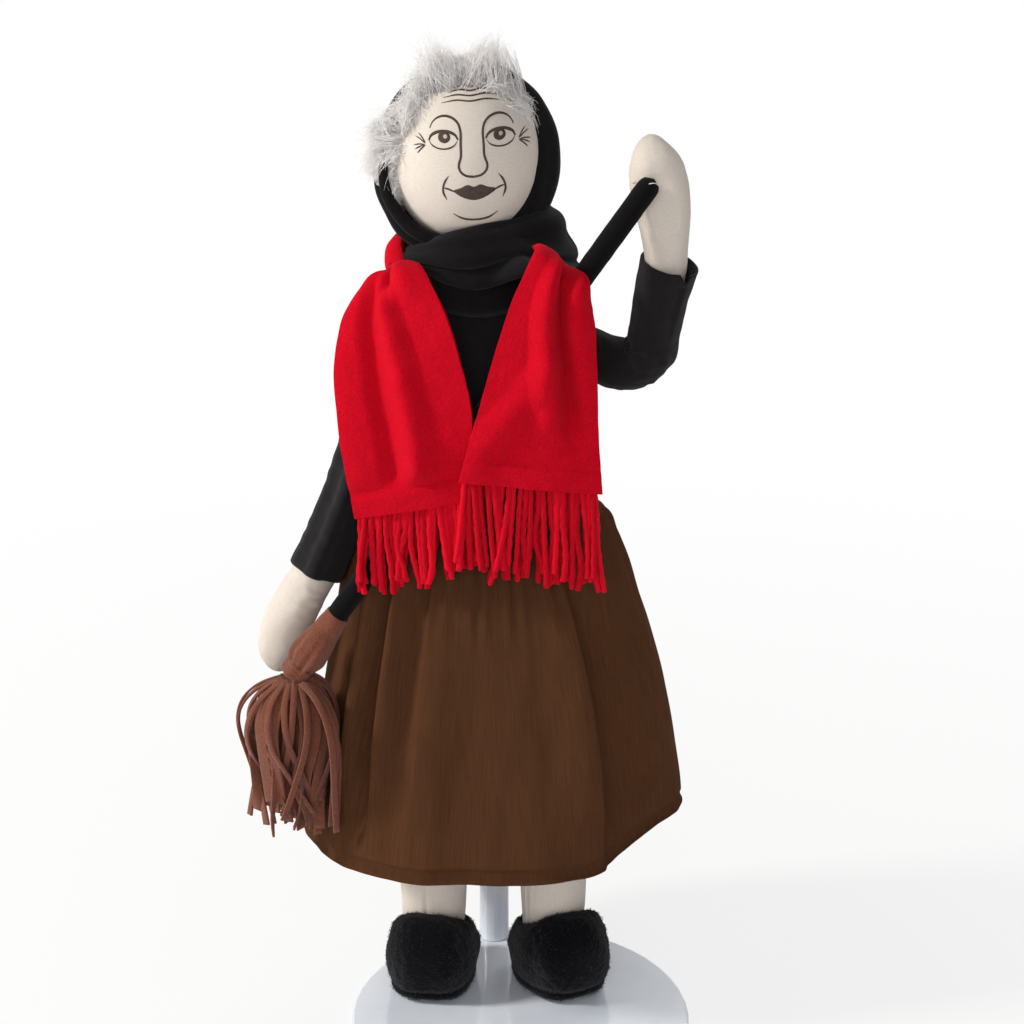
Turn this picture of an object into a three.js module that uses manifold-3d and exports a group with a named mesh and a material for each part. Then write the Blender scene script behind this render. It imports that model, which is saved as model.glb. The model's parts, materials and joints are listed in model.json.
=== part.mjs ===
// A rag doll of an old woman with a broom, held on a display stand by a waist clip.
// Millimetres, +Z up. The origin is the centre of the base's underside. The doll faces -Y,
// so its left hand is on +X. Heights marked Z are above the floor; the doll's own x and y
// are measured from the line that stands over the middle of its hips.
import * as THREE from "three";
import { mergeVertices } from "three/addons/utils/BufferGeometryUtils.js";
import Module from "manifold-3d";

const wasm = await Module();
wasm.setup();

// Fits and cloth
const SEAT = 0.35; // gap between a piece and what it rests on or is sewn to
const CLOTH = 1.5; // wall of the blouse, sleeves and skirt
const FLEECE = 3.2; // wall of the red scarf

// Stand
const BASE_DIAMETER = 164;
const BASE_THICKNESS = 4;
const BASE_EDGE = 1.5; // radius of the rounded rim
const POST_INSET = 8; // from the rim to the post's axis
const POST_X = -13; // the post stands off the base's middle line
const POST_FOOT_DIAMETER = 15;
const POST_HEAD_DIAMETER = 14;
const POST_CROWN = 3; // radius of its rounded top
const POST_SPARE = 2; // above the collar at its highest
const SCREW_DIAMETER = 3.6;
const SCREW_HEAD_DIAMETER = 8.4;
const SCREW_GRIP = 14; // how far the screw reaches into the post
const SCREW_SUNK = 0.5; // the head's face above the base's underside

// Waist clip
const COLLAR_HEIGHT = 14;
const COLLAR_WALL = 2.2;
const CLIP_TRAVEL = 22; // height adjustment on the post
const WIRE_DIAMETER = 3;
const WIRE_SLEEVE_WALL = 1;
const CLIP_MOUTH = 55; // half angle of the open front, degrees
const CLIP_SLEEVE_START = 0.9; // radians from straight behind

// Legs and slippers
const SOLE_GAP = 0.6; // between the soles and the base
const SOLE_THICKNESS = 2;
const HIP_HEIGHT = 160; // hip seam above the soles
const LEG_SPREAD = 29.5; // each leg's axis from the middle
const LEG_RADIUS = 16.3;
const HIP_RADIUS = 15;
const SHOE_HEIGHT = 38;
const SHOE_HALF_WIDTH = 22;
const TOE_REACH = 36; // from the leg's axis to the toe
const HEEL_REACH = 20;

// Body
const HIP_HALF_WIDTH = 46;
const HIP_HALF_DEPTH = 22.5;
const WAIST_HALF_WIDTH = 45;
const WAIST_HALF_DEPTH = 25;
const CHEST_HALF_WIDTH = 34;
const CHEST_HALF_DEPTH = 26;
const SHOULDER_HALF_WIDTH = 31;
const SHOULDER_HALF_DEPTH = 20;
const NECK_RADIUS = 13;
const HIP_RISE = 14; // from the bottom of the body
const WAIST_RISE = 80;
const CHEST_RISE = 118;
const SHOULDER_RISE = 152;
const NECK_RISE = 174;
const NECK_LENGTH = 27;
const LEAN = 0.042; // the body leans to its right as it rises
const BOTTOM_ROUND = 5; // height of the rounding under the hips
const BODICE_DROP = 22; // how far the blouse is tucked in below the waist

// Skirt
const BAND_HEIGHT = 12;
const BAND_WALL = 2;
const SKIRT_LENGTH = 165;
const HEM_HALF_WIDTH = 91;
const HEM_FRONT = 69;
const HEM_BACK = 74;
const SKIRT_SPRING = 22; // the gathers spread out over this height below the waistband
const HEM_RISE = 8; // how far the hem lifts on the doll's left
const HEM_RISE_AT = 350; // degrees from the doll's left, turning to its back
const HEM_RISE_HALF = 45;
const FOLD_COUNT = 9; // round the whole skirt; these show behind
const FOLD_DEPTH = 2.6; // at the hem
const PLEAT_DEPTH = 4; // of the sharp folds below the waist
const FRONT_FOLD_DEPTH = 3.2; // of the soft folds in front, at the hem
const BACK_RUN = 20; // the skirt falls this far over the post
const BACK_SLOPE = 7; // while it moves back this far

// Head
const HEAD_HALF_WIDTH = 34;
const HEAD_HALF_DEPTH = 32;
const HEAD_HALF_HEIGHT = 37;
const NECK_SUNK = 6; // how far the neck stands into the head
const HOOD_HALF_WIDTH = 39.5;
const HOOD_HALF_DEPTH = 40;
const HOOD_HALF_HEIGHT = 42.5;
const HOOD_SLANT = 22; // the hood's edge leans back towards the crown, degrees
const HOOD_EDGE = 6; // how far in front of the head's middle that edge passes
const HOOD_SHIFT = 3; // the hood sits this far to the doll's right
const HAIR_RADIUS = 9;
const WRAP_HEIGHT = 31;
const WRAP_HALF_WIDTH = 35;
const WRAP_HALF_DEPTH = 31;
const WRAP_BULGE = 1.05; // how far it stands out below its middle
const WRAP_FOLD = 1.6; // step where the kerchief's end laps over itself

// Arms
const SLEEVE_RADIUS = 12;
const CUFF_RADIUS = 13.2;
const UPPER_ARM = 38;
const FOREARM = 52; // elbow to cuff, on the raised arm
const LOW_FOREARM = 76; // elbow to cuff, on the hanging arm
const HAND_LENGTH = 56; // cuff to fingertips
const HAND_HALF_WIDTH = 12.4;
const HAND_HALF_DEPTH = 9.5;
const HAND_SPLAY = 0.13; // the hanging hand turns out from its sleeve's line
const LEFT_SHOULDER_LIFT = 7;
const LEFT_UPPER_DROP = 29; // the raised arm's upper half points this far below level, degrees
const ELBOW_CLEAR = 0.9; // between the hanging elbow and the blouse
const ARM_CLEAR = 3; // between the hanging forearm and the skirt
const ELBOW_ROOM = 1.4; // the stuffed upper arm stops this many sleeve radii short of the elbow
const LEFT_SHOULDER_SWING = 15; // range of the joints, degrees
const RIGHT_ELBOW_SWING = 35;

// Broom
const STICK_DIAMETER = 10;
const STICK_TILT = 55; // above level, degrees
const STICK_TO_TIE = 270; // from the top end to the tie
const STICK_END_SIDE = 6; // the stick's end lies this far inwards of the palm's middle
const STICK_END_RISE = 4; // and this far above it
const PALM_PRESS = 0.7; // how far the stitches draw the stick into the palm
const CAP_LENGTH = 34;
const CAP_RADIUS = 9.5;
const TIE_RADIUS = 8;
const TIE_WIDTH = 5;
const STRIP_COUNTS = [4, 9, 14]; // felt strips in each ring, inner to outer
const STRIP_WIDTH = 6;
const STRIP_THICKNESS = 1.3;
const STRIP_LENGTH = 74;
const BUNDLE_RADIUS = 22;
const BUNDLE_DEPTH = 0.62; // of the bundle, as a share of its width
const STRIP_CLEAR = 5; // between the strips and the skirt

// Scarf
const FRINGE_STRANDS = 20; // on each end
const FRINGE_LENGTH = 36;
const STRAND_DIAMETER = 3.5;
const SCARF_HALF_WIDTH = 28;
const SCARF_DROP_RIGHT = 68; // from the shoulder line to the middle of each end
const SCARF_DROP_LEFT = 56;
const SCARF_SPREAD_RIGHT = 30; // from the neck to the middle of each end, sideways
const SCARF_SPREAD_LEFT = 26;
const SCARF_RISE = 38; // from the shoulder line to where it leaves the neck
const SCARF_SET_BACK = 16; // how far it lies back there on the right shoulder
const SCARF_CURL = 13; // how far its outer edge curls back on the right shoulder
const ROLL_HALF_HEIGHT = 9; // where it goes round the neck
const ROLL_LIFT = 3.5; // there it rises over the raised stick
const SCARF_FOLD = 1.3; // depth of the soft folds down each end
const STRAND_SWAY = 0.5; // how far a strand's end drifts

// Facet counts
const BODY_SIDES = 24;
const LIMB_SIDES = 12;
const SKIRT_SIDES = 72;
const BASE_SIDES = 48;
const POST_SIDES = 24;
const SCREW_SIDES = 16;
const WIRE_SIDES = 8;
const STICK_SIDES = 16;
const BINDING_SIDES = 18;
const SHOE_SIDES = 20;
const WRAP_SIDES = 32;

// Heights that follow from these
const SOLE_Z = BASE_THICKNESS + SOLE_GAP;
const HIP_Z = SOLE_Z + HIP_HEIGHT;
const CROTCH_Z = HIP_Z + HIP_RADIUS + SEAT;
const WAIST_Z = CROTCH_Z + WAIST_RISE;
const CHEST_Z = CROTCH_Z + CHEST_RISE;
const SHOULDER_Z = CROTCH_Z + SHOULDER_RISE;
const NECK_Z = CROTCH_Z + NECK_RISE;
const NECK_TOP_Z = NECK_Z + NECK_LENGTH;
const HEAD_Z = NECK_TOP_Z + HEAD_HALF_HEIGHT - NECK_SUNK;
const BODICE_HEM_Z = WAIST_Z - BODICE_DROP;
const BAND_LOW_Z = WAIST_Z - BAND_HEIGHT / 2;
const BAND_HIGH_Z = WAIST_Z + BAND_HEIGHT / 2;
const SKIRT_TOP_Z = BAND_LOW_Z - SEAT;
const HEM_Z = SKIRT_TOP_Z - SKIRT_LENGTH;
const HIP_LEVEL_Z = CROTCH_Z + HIP_RISE;
const BOTTOM_ROUND_Z = CROTCH_Z + BOTTOM_ROUND;
const WRAP_LOW_Z = NECK_Z;
const WRAP_HIGH_Z = WRAP_LOW_Z + WRAP_HEIGHT;

// Layers in front of the chest: blouse, broomstick, scarf
const BLOUSE_OFFSET = SEAT + CLOTH;
const STICK_RADIUS = STICK_DIAMETER / 2;
const STICK_Y = -(CHEST_HALF_DEPTH + BLOUSE_OFFSET + 3 * SEAT + STICK_RADIUS);
const SCARF_BACK = Math.max(FLEECE / 2 + SCARF_FOLD, 0.95 * STRAND_DIAMETER + STRAND_SWAY);
const SCARF_Y = STICK_Y - STICK_RADIUS - 2 * SEAT - SCARF_BACK;

// Geometry helpers

const vec = (x, y, z) => new THREE.Vector3(x, y, z);
const radians = THREE.MathUtils.degToRad;
const flat = (sides) => Math.cos(Math.PI / sides); // how near the flats of an oval ring lie

// A smooth curve through [place, value] stations, level beyond its ends.
function through(stations) {
  const last = stations.length - 1;
  const slope = (i) => {
    const [x0, y0] = stations[Math.max(i - 1, 0)];
    const [x1, y1] = stations[Math.min(i + 1, last)];
    return (y1 - y0) / (x1 - x0);
  };
  return (at) => {
    if (at <= stations[0][0]) return stations[0][1];
    if (at >= stations[last][0]) return stations[last][1];
    const i = stations.findIndex((station) => station[0] > at) - 1;
    const [x0, y0] = stations[i];
    const [x1, y1] = stations[i + 1];
    const t = (at - x0) / (x1 - x0);
    const rise = t * t * (3 - 2 * t);
    const bow = t * (1 - t) * (x1 - x0);
    return y0 + (y1 - y0) * rise + bow * ((1 - t) * slope(i) - t * slope(i + 1));
  };
}

// A closed surface over rings of equal counts, which run anticlockwise about the way they face.
// It is capped at both ends or, as a loop, joins the last ring to the first.
function skin(rings, loop = false) {
  const sides = rings[0].length;
  const index = [];
  const quad = (a, b, c, d) => index.push(a, b, c, a, c, d);
  const bands = loop ? rings.length : rings.length - 1;
  for (let i = 0; i < bands; i++) {
    const low = i * sides;
    const high = ((i + 1) % rings.length) * sides;
    for (let k = 0; k < sides; k++) {
      const next = (k + 1) % sides;
      quad(low + k, low + next, high + next, high + k);
    }
  }
  const top = (rings.length - 1) * sides;
  for (let k = 0; !loop && k < sides / 2 - 1; k++) {
    const far = sides - 1 - k;
    quad(k, far, far - 1, k + 1);
    quad(top + k, top + k + 1, top + far - 1, top + far);
  }
  const geometry = new THREE.BufferGeometry().setFromPoints(rings.flat());
  return geometry.setIndex(index);
}

// An oval ring about a centre, from half axes u and v, facing along u x v.
function oval(centre, u, v, sides) {
  return Array.from({ length: sides }, (_, k) => {
    const angle = ((k + 0.5) / sides) * 2 * Math.PI;
    return centre.clone().addScaledVector(u, Math.cos(angle)).addScaledVector(v, Math.sin(angle));
  });
}

// A solid of revolution about Z, from a profile of [radius, height] that climbs on its outside.
function revolve(profile, segments) {
  const points = profile.map(([r, z]) => new THREE.Vector2(r, z));
  return new THREE.LatheGeometry(points, segments).rotateX(Math.PI / 2);
}

// A quarter round of a profile, about [r, z] from one angle to another, in degrees.
function arc(r, z, radius, from, to, steps = 2) {
  return Array.from({ length: steps + 1 }, (_, i) => {
    const angle = radians(from + ((to - from) * i) / steps);
    return [r + radius * Math.cos(angle), z + radius * Math.sin(angle)];
  });
}

// The same geometry as a manifold-3d solid, and back.
function solid(geometry) {
  const bare = new THREE.BufferGeometry();
  bare.setAttribute("position", geometry.getAttribute("position"));
  bare.setIndex(geometry.index);
  const merged = mergeVertices(bare, 1e-3);
  const triangles = [];
  const all = merged.index.array;
  for (let i = 0; i < all.length; i += 3) {
    const [a, b, c] = [all[i], all[i + 1], all[i + 2]];
    if (a !== b && b !== c && c !== a) triangles.push(a, b, c);
  }
  const vertProperties = Float32Array.from(merged.attributes.position.array);
  return new wasm.Manifold(
    new wasm.Mesh({ numProp: 3, vertProperties, triVerts: Uint32Array.from(triangles) }),
  );
}

function geometryOf(manifold) {
  const mesh = manifold.getMesh();
  const geometry = new THREE.BufferGeometry();
  geometry.setAttribute("position", new THREE.BufferAttribute(mesh.vertProperties, 3));
  return geometry.setIndex(new THREE.BufferAttribute(mesh.triVerts, 1));
}

const cut = (geometry, ...cutters) =>
  geometryOf(cutters.reduce((left, cutter) => left.subtract(solid(cutter)), solid(geometry)));

const join = (...geometries) =>
  geometryOf(geometries.map(solid).reduce((whole, next) => whole.add(next)));

// Rings along a smooth path. Each stop is [point, half width, half depth], the width lies along
// the path's sideways direction, and grow is added all round. A dome closes the chosen ends.
function limbRings(stops, { steps = 8, grow = 0, domes = [true, true], sideways = vec(1, 0, 0) }) {
  const path = new THREE.CatmullRomCurve3(stops.map((stop) => stop[0]));
  const spread = (k) => through(stops.map((stop, i) => [i / (stops.length - 1), stop[k]]));
  const [widthAt, depthAt] = [spread(1), spread(2)];
  const section = (t, ahead, share) => {
    const along = path.getTangent(t);
    const across = sideways.clone().addScaledVector(along, -sideways.dot(along)).normalize();
    const out = along.clone().cross(across);
    const [wide, deep] = [widthAt(t) + grow, depthAt(t) + grow];
    const centre = path.getPoint(t).addScaledVector(along, ahead * Math.min(wide, deep));
    return oval(centre, across.multiplyScalar(wide * share), out.multiplyScalar(deep * share),
      LIMB_SIDES);
  };
  const dome = [80, 55, 28].map(radians);
  const rings = [];
  if (domes[0]) dome.forEach((a) => rings.push(section(0, -Math.sin(a), Math.cos(a))));
  for (let i = 0; i <= steps; i++) rings.push(section(i / steps, 0, 1));
  if (domes[1]) [...dome].reverse().forEach((a) => rings.push(section(1, Math.sin(a), Math.cos(a))));
  return rings;
}

const limb = (stops, options) => skin(limbRings(stops, options));

// A sleeve: a cloth cup with its dome at the first stop and its mouth at the last.
function sleeve(stops, options) {
  const domes = [true, false];
  const outer = limbRings(stops, { ...options, domes });
  const inner = limbRings(stops, { ...options, domes, grow: -CLOTH });
  return skin([...outer, ...inner.reverse()].reverse().map((ring) => [...ring].reverse()));
}

// Body shape

const spineX = (z) => -LEAN * (Math.min(z, NECK_Z) - CROTCH_Z);

const bodyHalfWidth = through([
  [CROTCH_Z, 0.74 * HIP_HALF_WIDTH],
  [BOTTOM_ROUND_Z, 0.92 * HIP_HALF_WIDTH],
  [HIP_LEVEL_Z, HIP_HALF_WIDTH],
  [WAIST_Z, WAIST_HALF_WIDTH],
  [CHEST_Z, CHEST_HALF_WIDTH],
  [SHOULDER_Z, SHOULDER_HALF_WIDTH],
  [0.4 * SHOULDER_Z + 0.6 * NECK_Z, 0.55 * SHOULDER_HALF_WIDTH + 0.1 * NECK_RADIUS],
  [NECK_Z, NECK_RADIUS],
]);

const bodyHalfDepth = through([
  [CROTCH_Z, 0.7 * HIP_HALF_DEPTH],
  [BOTTOM_ROUND_Z, 0.9 * HIP_HALF_DEPTH],
  [HIP_LEVEL_Z, HIP_HALF_DEPTH],
  [WAIST_Z, WAIST_HALF_DEPTH],
  [CHEST_Z, CHEST_HALF_DEPTH],
  [SHOULDER_Z, SHOULDER_HALF_DEPTH],
  [NECK_Z, NECK_RADIUS],
]);

const bodyRing = (z, grow = 0) =>
  oval(
    vec(spineX(z), 0, z),
    vec(bodyHalfWidth(z) + grow, 0, 0),
    vec(0, bodyHalfDepth(z) + grow, 0),
    BODY_SIDES,
  );

// The clip's wire lies on the hips, and the collar and the post stand behind it.
const WIRE_RADIUS = WIRE_DIAMETER / 2;
const CLIP_SLEEVE_RADIUS = WIRE_RADIUS + SEAT + WIRE_SLEEVE_WALL;
const CLIP_Z = HIP_LEVEL_Z + COLLAR_HEIGHT / 2;
const POST_TOP_Z = CLIP_Z + COLLAR_HEIGHT / 2 + CLIP_TRAVEL + POST_SPARE;
const COLLAR_BORE = POST_FOOT_DIAMETER / 2 + SEAT;
const COLLAR_RADIUS = COLLAR_BORE + COLLAR_WALL;
const WIRE_OFFSET = 2 * SEAT + WIRE_RADIUS; // from the hips to the wire's middle
const POST_BEHIND = bodyHalfDepth(CLIP_Z) + WIRE_OFFSET + WIRE_RADIUS + SEAT + COLLAR_RADIUS;
const POST_Y = Math.sqrt((BASE_DIAMETER / 2 - POST_INSET) ** 2 - POST_X ** 2);
const DOLL_X = POST_X;
const DOLL_Y = POST_Y - POST_BEHIND;

// Every layer over the body shares these levels, so that its facets stay parallel.
const BODICE_TOP_Z = NECK_Z - 2 * SEAT;
const BODICE_LEVELS = [
  BODICE_HEM_Z,
  BAND_LOW_Z,
  BAND_HIGH_Z,
  0.5 * (BAND_HIGH_Z + CHEST_Z),
  CHEST_Z,
  0.5 * (CHEST_Z + SHOULDER_Z),
  SHOULDER_Z,
  0.6 * SHOULDER_Z + 0.4 * NECK_Z,
  0.25 * SHOULDER_Z + 0.75 * NECK_Z,
  BODICE_TOP_Z,
];
const BODY_LEVELS = [
  CROTCH_Z,
  BOTTOM_ROUND_Z,
  HIP_LEVEL_Z,
  0.5 * (HIP_LEVEL_Z + BODICE_HEM_Z),
  ...BODICE_LEVELS,
  NECK_Z,
  NECK_TOP_Z,
];

const bandRings = (levels, inside, wall) => [
  ...levels.map((z) => bodyRing(z, inside + wall)),
  ...[...levels].reverse().map((z) => bodyRing(z, inside)),
];

const body = () => skin(BODY_LEVELS.map((z) => bodyRing(z)));
const bodice = () => skin(bandRings(BODICE_LEVELS, SEAT, CLOTH), true);
const waistband = () =>
  skin(bandRings([BAND_LOW_Z, BAND_HIGH_Z], BLOUSE_OFFSET + SEAT, BAND_WALL), true);

// Skirt: a flared cone, deeper behind where it falls over the post, with an uneven hem and folds.
// Angles are in degrees from the doll's left, turning to its back.

// The hem's swells: angle, and share of an oval hem.
const HEM_SWELLS = [
  [5, 1.01],
  [22, 1.08],
  [68, 1.08],
  [90, 1.02],
  [112, 1.03],
  [160, 1.05],
  [188, 1],
  [214, 1.02],
  [240, 0.99],
  [268, 0.955],
  [290, 0.94],
  [312, 0.955],
  [324, 0.89],
  [336, 0.83],
  [347, 0.86],
];

// Folds: angle, half width in degrees, and share of the depth. Pleats die out below.
const PLEATS = [
  [203, 8, -0.6],
  [210, 6, 1],
  [217.5, 6, -1],
  [225, 6, 1],
];
const FRONT_FOLDS = [
  [240, 11, 0.3],
  [260, 17, -0.55],
  [289, 14, 0.45],
  [315, 10, 1],
  [331, 11, -0.8],
];
const BEHIND = 90;
const BEHIND_HALF = 85;

const SKIRT_TOP_GROW = BLOUSE_OFFSET + 2 * SEAT + BAND_WALL;
const skirtHalfWidth = through([
  [HEM_Z, HEM_HALF_WIDTH],
  [0.7 * HEM_Z + 0.3 * SKIRT_TOP_Z, 0.76 * HEM_HALF_WIDTH + 0.24 * WAIST_HALF_WIDTH],
  [SKIRT_TOP_Z - SKIRT_SPRING, 0.3 * HEM_HALF_WIDTH + 0.7 * WAIST_HALF_WIDTH],
  [SKIRT_TOP_Z, bodyHalfWidth(WAIST_Z) + SKIRT_TOP_GROW],
]);
const skirtFront = through([
  [HEM_Z, HEM_FRONT],
  [SKIRT_TOP_Z - SKIRT_SPRING, 0.2 * HEM_FRONT + 0.8 * WAIST_HALF_DEPTH],
  [SKIRT_TOP_Z, bodyHalfDepth(WAIST_Z) + SKIRT_TOP_GROW],
]);
const POST_ROOM = POST_BEHIND + POST_FOOT_DIAMETER / 2 + CLOTH + 4 * SEAT + FOLD_DEPTH;
const skirtBack = through([
  [HEM_Z, HEM_BACK],
  [POST_TOP_Z - BACK_RUN, POST_ROOM + BACK_SLOPE],
  [POST_TOP_Z + 3 * SEAT, POST_ROOM],
  [SKIRT_TOP_Z, bodyHalfDepth(WAIST_Z) + SKIRT_TOP_GROW],
]);

const hemSwell = through(
  [-360, 0, 360].flatMap((turn) => HEM_SWELLS.map(([angle, share]) => [angle + turn, share])),
);

// A smooth hill of height 1 about an angle, nothing past its half width.
function hill(degrees, middle, half) {
  const away = THREE.MathUtils.euclideanModulo(degrees - middle + 180, 360) - 180;
  return Math.max(0, 1 - (away / half) ** 2) ** 2;
}

// How far the folds stand out at an angle, at a share of the way down from the waist.
function skirtFold(degrees, drop) {
  const { smoothstep } = THREE.MathUtils;
  const raised = (folds, depth) =>
    folds.reduce((sum, [at, half, share]) => sum + share * depth * hill(degrees, at, half), 0);
  const upper = smoothstep(drop, 0, 0.2) * (1 - smoothstep(drop, 0.55, 0.9));
  const waves = FOLD_DEPTH * Math.cos(radians(FOLD_COUNT * degrees));
  const soft = raised(FRONT_FOLDS, FRONT_FOLD_DEPTH) + waves * hill(degrees, BEHIND, BEHIND_HALF);
  return upper * raised(PLEATS, PLEAT_DEPTH) + smoothstep(drop, 0.1, 0.6) * soft;
}

function skirtRing(level, inset) {
  const drop = (SKIRT_TOP_Z - level) / SKIRT_LENGTH;
  const centre = spineX(WAIST_Z) * (1 - drop);
  return Array.from({ length: SKIRT_SIDES }, (_, k) => {
    const degrees = (k / SKIRT_SIDES) * 360;
    const [cos, sin] = [Math.cos(radians(degrees)), Math.sin(radians(degrees))];
    const depth = sin < 0 ? skirtFront(level) : skirtBack(level);
    const oval = 1 / Math.hypot(cos / skirtHalfWidth(level), sin / depth);
    const swell = 1 + drop * (hemSwell(degrees) - 1);
    const reach = oval * swell + skirtFold(degrees, drop) - inset;
    const rise = HEM_RISE * drop * hill(degrees, HEM_RISE_AT, HEM_RISE_HALF);
    return vec(centre + reach * cos, reach * sin, level + rise);
  });
}

function skirt() {
  const shares = [0, 0.12, 0.3, 0.5, 0.7, 0.84, 0.93, 1];
  const levels = shares.map((t) => HEM_Z + t * SKIRT_LENGTH);
  const outer = levels.map((z) => skirtRing(z, 0));
  const inner = [...levels].reverse().map((z) => skirtRing(z, CLOTH));
  return skin([...outer, ...inner], true);
}

// Stand

function standBase() {
  const rim = BASE_DIAMETER / 2 - BASE_EDGE;
  const disc = revolve(
    [
      [0, 0],
      ...arc(rim, BASE_EDGE, BASE_EDGE, -90, 0),
      ...arc(rim, BASE_THICKNESS - BASE_EDGE, BASE_EDGE, 0, 90),
      [0, BASE_THICKNESS],
    ],
    BASE_SIDES,
  );
  const hole = revolve(screwProfile(SEAT, -1, BASE_THICKNESS + 1), SCREW_SIDES);
  return cut(disc, hole.translate(POST_X, POST_Y, 0));
}

// The countersunk screw's outline, grown by a clearance, from one height to another.
function screwProfile(grow, low, high) {
  const head = SCREW_HEAD_DIAMETER / 2;
  const shank = SCREW_DIAMETER / 2;
  return [
    [0, low],
    [head - low + grow, low],
    [shank + grow, head - shank],
    [shank + grow, high],
    [0, high],
  ];
}

function screw() {
  const profile = screwProfile(0, SCREW_SUNK, BASE_THICKNESS + SCREW_GRIP);
  return revolve(profile, SCREW_SIDES).translate(POST_X, POST_Y, 0);
}

function standPost() {
  const foot = POST_FOOT_DIAMETER / 2;
  const head = POST_HEAD_DIAMETER / 2;
  const pilot = SCREW_DIAMETER / 2 + SEAT;
  const low = BASE_THICKNESS + SEAT;
  const depth = BASE_THICKNESS + SCREW_GRIP + SEAT;
  return revolve(
    [
      [0, depth],
      [pilot, depth],
      [pilot, low],
      [foot, low],
      ...arc(head - POST_CROWN, POST_TOP_Z - POST_CROWN, POST_CROWN, 0, 90),
      [0, POST_TOP_Z],
    ],
    POST_SIDES,
  ).translate(POST_X, POST_Y, 0);
}

// Waist clip: a collar that slides on the post, and a sprung wire round the hips

function clipCollar() {
  const [low, high] = [CLIP_Z - COLLAR_HEIGHT / 2, CLIP_Z + COLLAR_HEIGHT / 2];
  const ring = [
    [COLLAR_BORE, low],
    [COLLAR_RADIUS, low],
    [COLLAR_RADIUS, high],
    [COLLAR_BORE, high],
    [COLLAR_BORE, low],
  ];
  return revolve(ring, POST_SIDES).translate(0, POST_BEHIND, 0);
}

// A point on the wire's line round the hips. Angle 0 is straight behind.
function clipPoint(angle) {
  const padding = (CLIP_SLEEVE_RADIUS - WIRE_RADIUS) * Math.min(1, Math.abs(angle));
  const away = WIRE_OFFSET + padding;
  const wide = bodyHalfWidth(CLIP_Z) + away;
  const deep = bodyHalfDepth(CLIP_Z) + away;
  return vec(spineX(CLIP_Z) + wide * Math.sin(angle), deep * Math.cos(angle), CLIP_Z);
}

// Places along the wire, from its right tip round behind the hips to its left tip.
const CLIP_END = Math.PI - radians(CLIP_MOUTH);
const CLIP_STEPS = 24;
const CLIP_ANGLES = Array.from(
  { length: CLIP_STEPS + 1 },
  (_, i) => CLIP_END * ((2 * i) / CLIP_STEPS - 1),
);

function clipRing(angle, radius) {
  const along = clipPoint(angle + 0.01).sub(clipPoint(angle - 0.01)).normalize();
  const out = vec(0, 0, radius).cross(along);
  return oval(clipPoint(angle), out, along.clone().cross(out), WIRE_SIDES);
}

const clipWire = () => skin(CLIP_ANGLES.map((angle) => clipRing(angle, WIRE_RADIUS)));

// A soft tube over one arm of the wire, short of its tip.
function clipSleeve(side) {
  const free = CLIP_ANGLES.slice(1, -1).filter((angle) => angle * side > CLIP_SLEEVE_START);
  const outer = free.map((angle) => clipRing(angle, CLIP_SLEEVE_RADIUS));
  const inner = free.map((angle) => clipRing(angle, WIRE_RADIUS + SEAT));
  return skin([...outer, ...inner.reverse()], true);
}

// Head, hair and kerchief

const NECK_X = spineX(NECK_Z);

function ball(halfWidth, halfDepth, halfHeight, grow = 0) {
  return new THREE.SphereGeometry(1, 20, 12)
    .rotateX(Math.PI / 2)
    .scale(halfWidth + grow, halfDepth + grow, halfHeight + grow)
    .translate(NECK_X, 0, HEAD_Z);
}

const headBall = (grow) => ball(HEAD_HALF_WIDTH, HEAD_HALF_DEPTH, HEAD_HALF_HEIGHT, grow);

function head() {
  const socket = revolve(
    [
      [0, NECK_Z],
      [NECK_RADIUS + 2 * SEAT, NECK_Z],
      [NECK_RADIUS + 2 * SEAT, NECK_TOP_Z + SEAT],
      [0, NECK_TOP_Z + SEAT],
    ],
    20,
  );
  return cut(headBall(0), socket.translate(NECK_X, 0, 0));
}

const HOOD_LOW_Z = WRAP_HIGH_Z + 2 * SEAT;

// Everything in front of the hood's slanting edge, and below it.
function hoodOpening() {
  const size = 4 * HOOD_HALF_HEIGHT;
  const front = new THREE.BoxGeometry(size, size, size)
    .translate(0, -size / 2, 0)
    .rotateX(-radians(HOOD_SLANT))
    .translate(NECK_X, -HOOD_EDGE, HEAD_Z);
  const below = new THREE.BoxGeometry(size, size, size).translate(NECK_X, 0, HOOD_LOW_Z - size / 2);
  return [front, below];
}

const hoodBall = (grow) =>
  ball(HOOD_HALF_WIDTH, HOOD_HALF_DEPTH, HOOD_HALF_HEIGHT, grow).translate(-HOOD_SHIFT, 0, 0);
const hood = () => cut(hoodBall(0), headBall(SEAT), ...hoodOpening());

// The fur lies along the hood's edge, from the left temple over the crown to the right cheek.
function hair() {
  const around = [48, 74, 104, 134, 162, 190];
  const swell = [0.5, 0.9, 1, 1, 0.95, 0.5];
  const stops = around.map((degrees, i) => {
    const [across, up] = [Math.cos(radians(degrees)), Math.sin(radians(degrees))];
    const back = up * HEAD_HALF_HEIGHT * Math.tan(radians(HOOD_SLANT));
    const y = back - HOOD_EDGE - HAIR_RADIUS - 2 * SEAT;
    const share = Math.sqrt(1 - (y / HEAD_HALF_DEPTH) ** 2);
    const x = NECK_X + (HEAD_HALF_WIDTH * share + 0.6 * HAIR_RADIUS) * across;
    const z = HEAD_Z + (HEAD_HALF_HEIGHT * share + 0.6 * HAIR_RADIUS) * up;
    return [vec(x, y, z), HAIR_RADIUS * swell[i], HAIR_RADIUS * swell[i]];
  });
  const fur = limb(stops, { steps: 9, sideways: vec(0, 1, 0) });
  return cut(fur, headBall(SEAT), cut(hoodBall(SEAT), ...hoodOpening()));
}

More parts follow.
